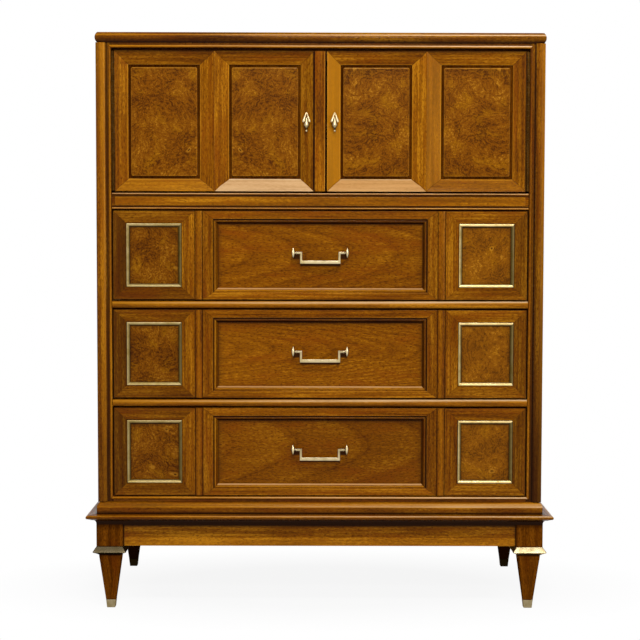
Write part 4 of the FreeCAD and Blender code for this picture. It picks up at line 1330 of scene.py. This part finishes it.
def bail(number, axis_y, axis_z):
    """Loops of a rounded square stretched between an outer and an inner outline, from stub to stub."""
    outer = np.array([[-stub_end, -half_bar], [-arm_x - half_bar, -half_bar],
                      [-arm_x - half_bar, -grip_drop - half_grip]])
    inner = np.array([[-stub_end, half_bar], [-arm_x + half_bar, half_bar],
                      [-arm_x + half_bar, -grip_drop + half_grip]])
    outer, inner = [np.concatenate([side, side[::-1] * (-1, 1)]) for side in (outer, inner)]

    def with_neighbours(path):
        """Adds a point 0.8 mm to each side of every corner, which keeps the corners crisp."""
        way = np.diff(path, axis=0)
        way = way / np.linalg.norm(way, axis=1, keepdims=True) * 0.8
        after, before = path[:-1] + way, path[1:] - way
        body = np.stack([before[:-1], path[1:-1], after[1:]], 1).reshape(-1, 2)
        return np.concatenate([path[:1], after[:1], body, before[-1:], path[-1:]])

    outer, inner = with_neighbours(outer), with_neighbours(inner)
    ring = rounded_square(0.5, 0.5, 0.17)
    plane = outer[:, None] + (inner - outer)[:, None] * (ring[None, :, :1] + 0.5)
    deep = np.broadcast_to(ring[None, :, 1:] * 2 * half_bar, plane.shape[:2] + (1,))
    loops = np.concatenate([plane[..., :1], deep, plane[..., 1:]], -1) * mm + (0, axis_y, axis_z)
    closed = joined_up(loops)
    # The bail's edges along its outer and inner outlines are painted darker, as painted shade that
    # tempers their highlights.
    edge_glaze = np.abs(np.concatenate([ring, ring[:1]])[:, 0] * 2) ** 3 * 0.8
    shape = Shape()
    shape.skin(closed, closed[..., [0, 2]], edge_glaze[None, :])
    for row in (0, -1):
        shape.lid(loops[row], loops[row][:, [1, 2]], 0.3)
    pin = np.array([[0, 2.4, 0.6], [0.3, 3.5, 0.1], [0.9, 3.5, 0.1], [1.2, 2.4, 0.7], [1.2, 2.05, 0.7],
                    [3.9, 2.05, 0.4], [3.9, 1.35, 0.8], [6.1, 1.35, 0.8]])
    for side in (-1, 1):
        turned(shape, pin * (side * mm, mm, 1), (side * stub_end * mm, axis_y, axis_z), 0)
    grip_head = axis_z - (grip_drop - half_grip) * mm
    # The arms and stubs above the grip are painted darker than the grip, as painted shade.
    shape.tone_and_shade_along(2, [grip_head + 1 * mm, grip_head + 4 * mm], (0, -0.25))
    name = "drawer_%d_bail" % number
    make(shape, name + "_cast", antique_brass, "bail_%d" % number, "antique_brass", name, sharp=50)


for number in (1, 2, 3):
    bail(number, *pull_posts(number))

# %% [markdown]
# ## Doors
#
# Each door has two bevelled frames side by side. Their bevels fall towards the panels, and where
# the two frames meet they make a mullion with a ridge. The burl panels are raised, with rounded
# corners and a dark line round them, and their veneers are book-matched about the mullion.

# %% Door frames, panels and slabs
door_face, slab_front_depth = 2.0, 12.0
bevel, mullion_bevel, bevel_foot, bevel_drop = 29.0, 31.5, 27.0, 7.0
burl_groove, burl_thick, burl_corner = 5.5, 4.5, 4.0
# Member tones are painted light, brighter on bevels that face the lamps. The foot sheen is a painted
# reflection of a lamp on the bottom bevels, strongest on the two middle panels. The edge lines are
# painted shade beside the astragal and the posts, and a painted highlight on the right door's meeting
# stile.
door_tones_and_light = {(-1, -1): (-0.05, 0.02, 0.08, -0.2), (-1, 1): (0.02, -0.28, 0.1, -0.14),
              (1, -1): (0.6, 0.05, 0.1, -0.12), (1, 1): (0.3, -0.16, 0.05, -0.14)}
foot_sheen = {(-1, -1): -0.15, (-1, 1): -1.15, (1, -1): -0.85, (1, 1): -0.05}
edge_lines = {(-1, -1): (0.3, 0.1), (-1, 1): (0.1, 1.0), (1, -1): (-0.5, 0.1), (1, 1): (0.1, 0.9)}


def bevel_section(width, line, halo, wear_and_highlight, arris):
    """The bevel falls evenly to its inner arris. The mark is given in a line along its outer edge, in
    a halo beside it, on its slope and on the arris: glaze and painted shade where it is dark, and
    painted highlights and sheen where it is pale, as on the arris."""
    into = np.array([0.7, 1.8, 2.6, 6.0, 11.0, width - 3.0, width - 1.6, width - 0.6])
    slope = np.stack([into, door_face + 0.2 + (bevel_drop - 0.4) * into / width, 0 * into,
                      [line, line, halo, wear_and_highlight + (halo - wear_and_highlight) * 0.5, wear_and_highlight, wear_and_highlight, arris, arris]], 1)
    return eased([[0, slab_front_depth, 0, 0.8], [0, door_face, 0.35, line], *slope.tolist(),
                  [width, door_face + bevel_drop, 0.3, 0.0], [width, slab_front_depth, 0, 1]])


def door(name, side):
    low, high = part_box(name + "_slab")
    front = low.y - slab_front_depth * mm
    middle = (low.x + high.x) / 2
    frames, panels, slab = Shape(40 if side < 0 else 60), Shape(), Shape()
    z = (low.z + (bevel_foot + burl_groove) * mm, high.z - (bevel + burl_groove) * mm)
    face = low.y - burl_thick * mm
    for leaf, x in ((-1, (low.x, middle)), (1, (middle, high.x))):
        wear_and_highlight = foot_sheen[side, leaf]
        widths = (bevel, mullion_bevel)[::-leaf]
        sections = [bevel_section(widths[0], edge_lines[side, leaf][0], 0.0, 0.0, -0.5),
                    bevel_section(widths[1], edge_lines[side, leaf][1], 0.0, 0.0, -0.3),
                    bevel_section(bevel_foot, wear_and_highlight, wear_and_highlight, wear_and_highlight, wear_and_highlight - 0.4),
                    bevel_section(bevel, 0.6, 0.5, 0.0, -0.25)]
        mitred_ring(frames, x, (low.z, high.z), front, sections, tones_and_light=door_tones_and_light[side, leaf])
        # The burl is darkened round its edge, most under the top bevel, by glaze and painted shade, and
        # its rim gets a faint painted highlight.
        stack = [[0, burl_thick, 1], [0, 1.2, 0.9], [0.16, 0.6, 0.3], [0.6, 0.16, -0.3],
                 [1.6, 0, -0.15], [3.5, 0, 0.1], [16, 0, 0]]
        panel_x = (x[0] + (widths[0] + burl_groove) * mm, x[1] - (widths[1] + burl_groove) * mm)
        panel(panels, panel_x, z, face, stack, burl_corner,
              np.array([side * 3.1 - leaf * middle, side * 1.7]), turn=leaf, sides=(0.5, 1.8, 0.5, 0.5))
    make(frames, name + "_frames", walnut_golden, name, "walnut", name + "_bevel_frame")
    make(panels, name + "_burl", burl_veneer, name, "burl_veneer", name + "_burl_panels")
    block(slab, low, high, 2, 0.4 * mm)
    # The slab's front, seen in the grooves round the burl, is darkened as painted shade.
    slab.glaze = [np.where(points[:, 1] < low.y + 2 * mm, 0.5, 0.0) for points in slab.points]
    make(slab, name + "_board", walnut_russet, name, "walnut", name + "_slab")


door("door_left", -1)
door("door_right", 1)

# %% The astragal on the left door
def astragal():
    low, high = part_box("door_left_astragal")
    wide = (high.x - low.x) / mm
    back = (high.y - low.y) / mm
    # Its left side is painted dark as shade against the stile, a thin line near its right edge gets a
    # painted highlight, and its right edge is dark again.
    section = eased([[0, back, 0, 1], [0, 1.6, 0.3, 1], [1.5, 1.2, 0, 1],
                     *swell(2.3, wide - 3.6, 1.2, 1.2), [wide - 3.3, 0.15, 0, -0.3],
                     [wide - 1.9, 0.3, 0, -0.6], [wide - 1.3, 0.6, 0, 0.8],
                     [wide, 1.6, 0.5, 1], [wide, back, 0, 1]])
    shape = Shape(7)
    bar(shape, section, (low.x, low.y, low.z), (low.x, low.y, high.z), (1, 0, 0), 2)
    make(shape, "door_left_astragal_crowned", walnut_golden, "door_left", "walnut", "door_left_astragal")


astragal()

# %% [markdown]
# ## Knobs
#
# A knob is an arrowhead of two polished blades over a tulip bud, with a small ball below it. A
# blade is an ellipse whose width swells from the tip to the foot; the bud and ball are turned.

# %% Blades, bud and ball
knob_height, knob_inset, bud_depth = 147.0, 16.3, 6.0
blade_steps = 12


def blade(shape, centre, side):
    """Ellipses along a line from the tip to the wing's foot: half width 1 + 1.9 t, closed by the
    factor sqrt(1 - (2t - 1)^8) at both ends."""
    t = np.linspace(0, 1, blade_steps + 1)
    tip, foot = np.array([0.1, 22.3]), np.array([7.4, -0.2])
    spine = tip + (foot - tip) * t[:, None]
    way = (foot - tip) / np.linalg.norm(foot - tip)
    across = np.array([way[1], -way[0]])
    close = np.sqrt(np.clip(1 - (2 * t - 1) ** 8, 0, 1))
    wide, thick = (1.0 + 1.9 * t) * close, (1.2 + 1.0 * t) * close
    turn = np.linspace(0, 2 * math.pi, 17)
    flat = spine[:, None] + across * (wide[:, None] * np.cos(turn))[..., None]
    deep = thick[:, None] * np.sin(turn)
    points = np.stack([flat[..., 0] * side, deep, flat[..., 1]], -1) * mm + centre
    shape.skin(points, points[..., [0, 2]], 0.0)


def knob(name):
    slab_low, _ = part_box(name + "_slab")
    low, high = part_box(name + "_knob")
    centre = np.array([(low.x + high.x) / 2, low.y + bud_depth * mm, slab_low.z + knob_height * mm])
    bud = np.array([[12.0, 0, 0], [11.2, 1.3, 0], [8, 2.7, 0.1], [4, 3.6, 0.1], [0, 4.5, 0],
                    [-3, 5.6, 0], [-4.8, 5.9, 0], [-6.5, 5.6, 0.05], [-8.5, 4.4, 0.2],
                    [-10.5, 2.9, 0.5], [-12.5, 1.7, 0.9], [-13.6, 1.5, 0.9], [-15.1, 1.4, 0.7]])
    around = np.linspace(0, math.pi, 9)
    ball = np.stack([-17.5 + 2.4 * np.cos(around), 2.4 * np.sin(around), 0 * around], 1)
    seat = slab_low.y - slab_front_depth * mm + (door_face + bevel_drop * (knob_inset + 3) / bevel) * mm
    reach = seat - centre[1]
    stem = np.array([[0, 2.6 * mm, 0.5], [reach * 0.8, 2.6 * mm, 0.7], [reach, 3.0 * mm, 1]])
    shape = Shape()
    for wing in (-1, 1):
        blade(shape, centre - (0, 3.2 * mm, 0), wing)
    # The bud and the ball are darker than the blades, and the bud's sides are painted darker still, as a
    # painted dark reflection.
    turned(shape, bud * (mm, mm, 1), centre, 2, tone=-0.3, dark_flank_reflection=0.6)
    turned(shape, ball * (mm, mm, 1), centre, 2, 14, tone=-0.4)
    turned(shape, stem, centre - (0, 0, 4.5 * mm), 1, 14)
    make(shape, name + "_knob_polished", antique_brass, name, "antique_brass", name + "_knob", sharp=60)


knob("door_left")
knob("door_right")

# %% [markdown]
# ## Finishes for the pieces that keep their shape
#
# The shelf, the runners, the guides and the hinges are as they should be. They only need their
# materials, with the grain turned along each board.

# %% Give each remaining piece its finish
kept_finishes = {
    walnut_inside: ["cupboard_floor", "cupboard_shelf", "door_stop", "front_rails"],
    oak_deep: ["shelf_cleats", "drawer_runners", "drawer_guides"],
    back_board: ["back_panel", "dust_panels"],
    catch_plastic: ["door_catches"],
    strike_steel: ["door_left_strike", "door_right_strike"],
    hinge_brass: ["hinge_case_leaves", "hinge_pins", "door_left_hinge_leaf", "door_right_hinge_leaf"],
}
for material, names in kept_finishes.items():
    for name in names:
        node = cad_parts[name]
        node.data.materials.clear()
        node.data.materials.append(material)
print(sum(map(len, kept_finishes.values())), "pieces keep their shape")

# %% [markdown]
# ## Floor, sky and lamps
#
# The photograph has a plain white ground. The floor is pale and keeps the soft shadow; further
# out it turns into plain white, and so is the sky wherever the camera or a reflection looks. Two
# wide, shallow lamps hang in front, one high up and one above the camera, where the bright lines
# on the rails come from. A weaker one stands on the right and a faint one on the left.

# %% A pale floor that fades to white
def looked_at(tree):
    """1 wherever the camera, a mirror or a glass looks, and 0 for plain light."""
    path = tree.nodes.new("ShaderNodeLightPath")
    seen = path.outputs["Is Camera Ray"]
    for ray in ("Is Glossy Ray", "Is Transmission Ray"):
        either = tree.nodes.new("ShaderNodeMath")
        either.operation = "MAXIMUM"
        tree.links.new(seen, either.inputs[0])
        tree.links.new(path.outputs[ray], either.inputs[1])
        seen = either.outputs[0]
    return seen


def pale_floor():
    material = bpy.data.materials.new("pale_floor")
    material.use_nodes = True
    tree = material.node_tree
    tree.nodes.clear()
    put = tree.nodes.new
    diffuse, glow = put("ShaderNodeBsdfDiffuse"), put("ShaderNodeEmission")
    ending = put("ShaderNodeOutputMaterial")
    diffuse.inputs["Color"].default_value = (0.86, 0.86, 0.86, 1)
    seen = looked_at(tree)
    place, narrower, length, fade, both = (put("ShaderNodeTexCoord"), put("ShaderNodeMapping"),
                                           put("ShaderNodeVectorMath"), put("ShaderNodeMapRange"),
                                           put("ShaderNodeMath"))
    narrower.inputs["Scale"].default_value = (0.5, 1, 1)
    length.operation = "LENGTH"
    fade.inputs["From Min"].default_value, fade.inputs["From Max"].default_value = 0.2, 0.42
    fade.inputs["To Min"].default_value = 0.9
    both.operation = "MULTIPLY"
    mix = put("ShaderNodeMixShader")
    for a, b in ((place.outputs["Object"], narrower.inputs["Vector"]),
                 (narrower.outputs[0], length.inputs[0]),
                 (length.outputs["Value"], fade.inputs["Value"]),
                 (fade.outputs["Result"], both.inputs[0]), (seen, both.inputs[1]),
                 (both.outputs[0], mix.inputs[0]), (diffuse.outputs[0], mix.inputs[1]),
                 (glow.outputs[0], mix.inputs[2]), (mix.outputs[0], ending.inputs["Surface"])):
        tree.links.new(a, b)
    return material


floor_mesh = bpy.data.meshes.new("floor")
reach = 40.0
floor_mesh.from_pydata([(-reach, -reach, 0), (reach, -reach, 0), (reach, reach, 0), (-reach, reach, 0)],
                       [], [(0, 1, 2, 3)])
floor = bpy.data.objects.new("floor", floor_mesh)
floor_mesh.materials.append(pale_floor())
bpy.context.scene.collection.objects.link(floor)
print("floor", floor.dimensions[:2])

# %% Sky and lamps
sky_for_light = 0.24


def white_sky():
    world = bpy.data.worlds.new("white_sky")
    world.use_nodes = True
    tree = world.node_tree
    tree.nodes.clear()
    strength = tree.nodes.new("ShaderNodeMapRange")
    strength.inputs["To Min"].default_value = sky_for_light
    tree.links.new(looked_at(tree), strength.inputs["Value"])
    light = tree.nodes.new("ShaderNodeBackground")
    light.inputs["Color"].default_value = (1, 1, 1, 1)
    tree.links.new(strength.outputs["Result"], light.inputs["Strength"])
    ending = tree.nodes.new("ShaderNodeOutputWorld")
    tree.links.new(light.outputs[0], ending.inputs["Surface"])
    bpy.context.scene.world = world


def soft_lamp(name, place, target, size, power):
    lamp = bpy.data.lights.new(name, "AREA")
    lamp.shape = "RECTANGLE"
    lamp.size, lamp.size_y = size
    lamp.energy = power
    holder = bpy.data.objects.new(name, lamp)
    holder.location = place
    holder.rotation_euler = (Vector(target) - Vector(place)).to_track_quat("-Z", "Y").to_euler()
    bpy.context.scene.collection.objects.link(holder)
    print(name, power, "W")


white_sky()
soft_lamp("high_lamp", (0.3, -2.4, 3.1), (0.0, -0.2, 0.7), (1.3, 0.2), 42)
soft_lamp("camera_lamp", (0.15, -3.8, 2.3), (0.0, -0.2, 0.8), (0.7, 0.2), 50)
soft_lamp("right_lamp", (2.3, -3.0, 1.2), (0.1, -0.2, 0.6), (1.0, 1.6), 20)
soft_lamp("left_lamp", (-2.4, -2.4, 1.9), (-0.2, -0.2, 0.6), (0.7, 1.0), 3)
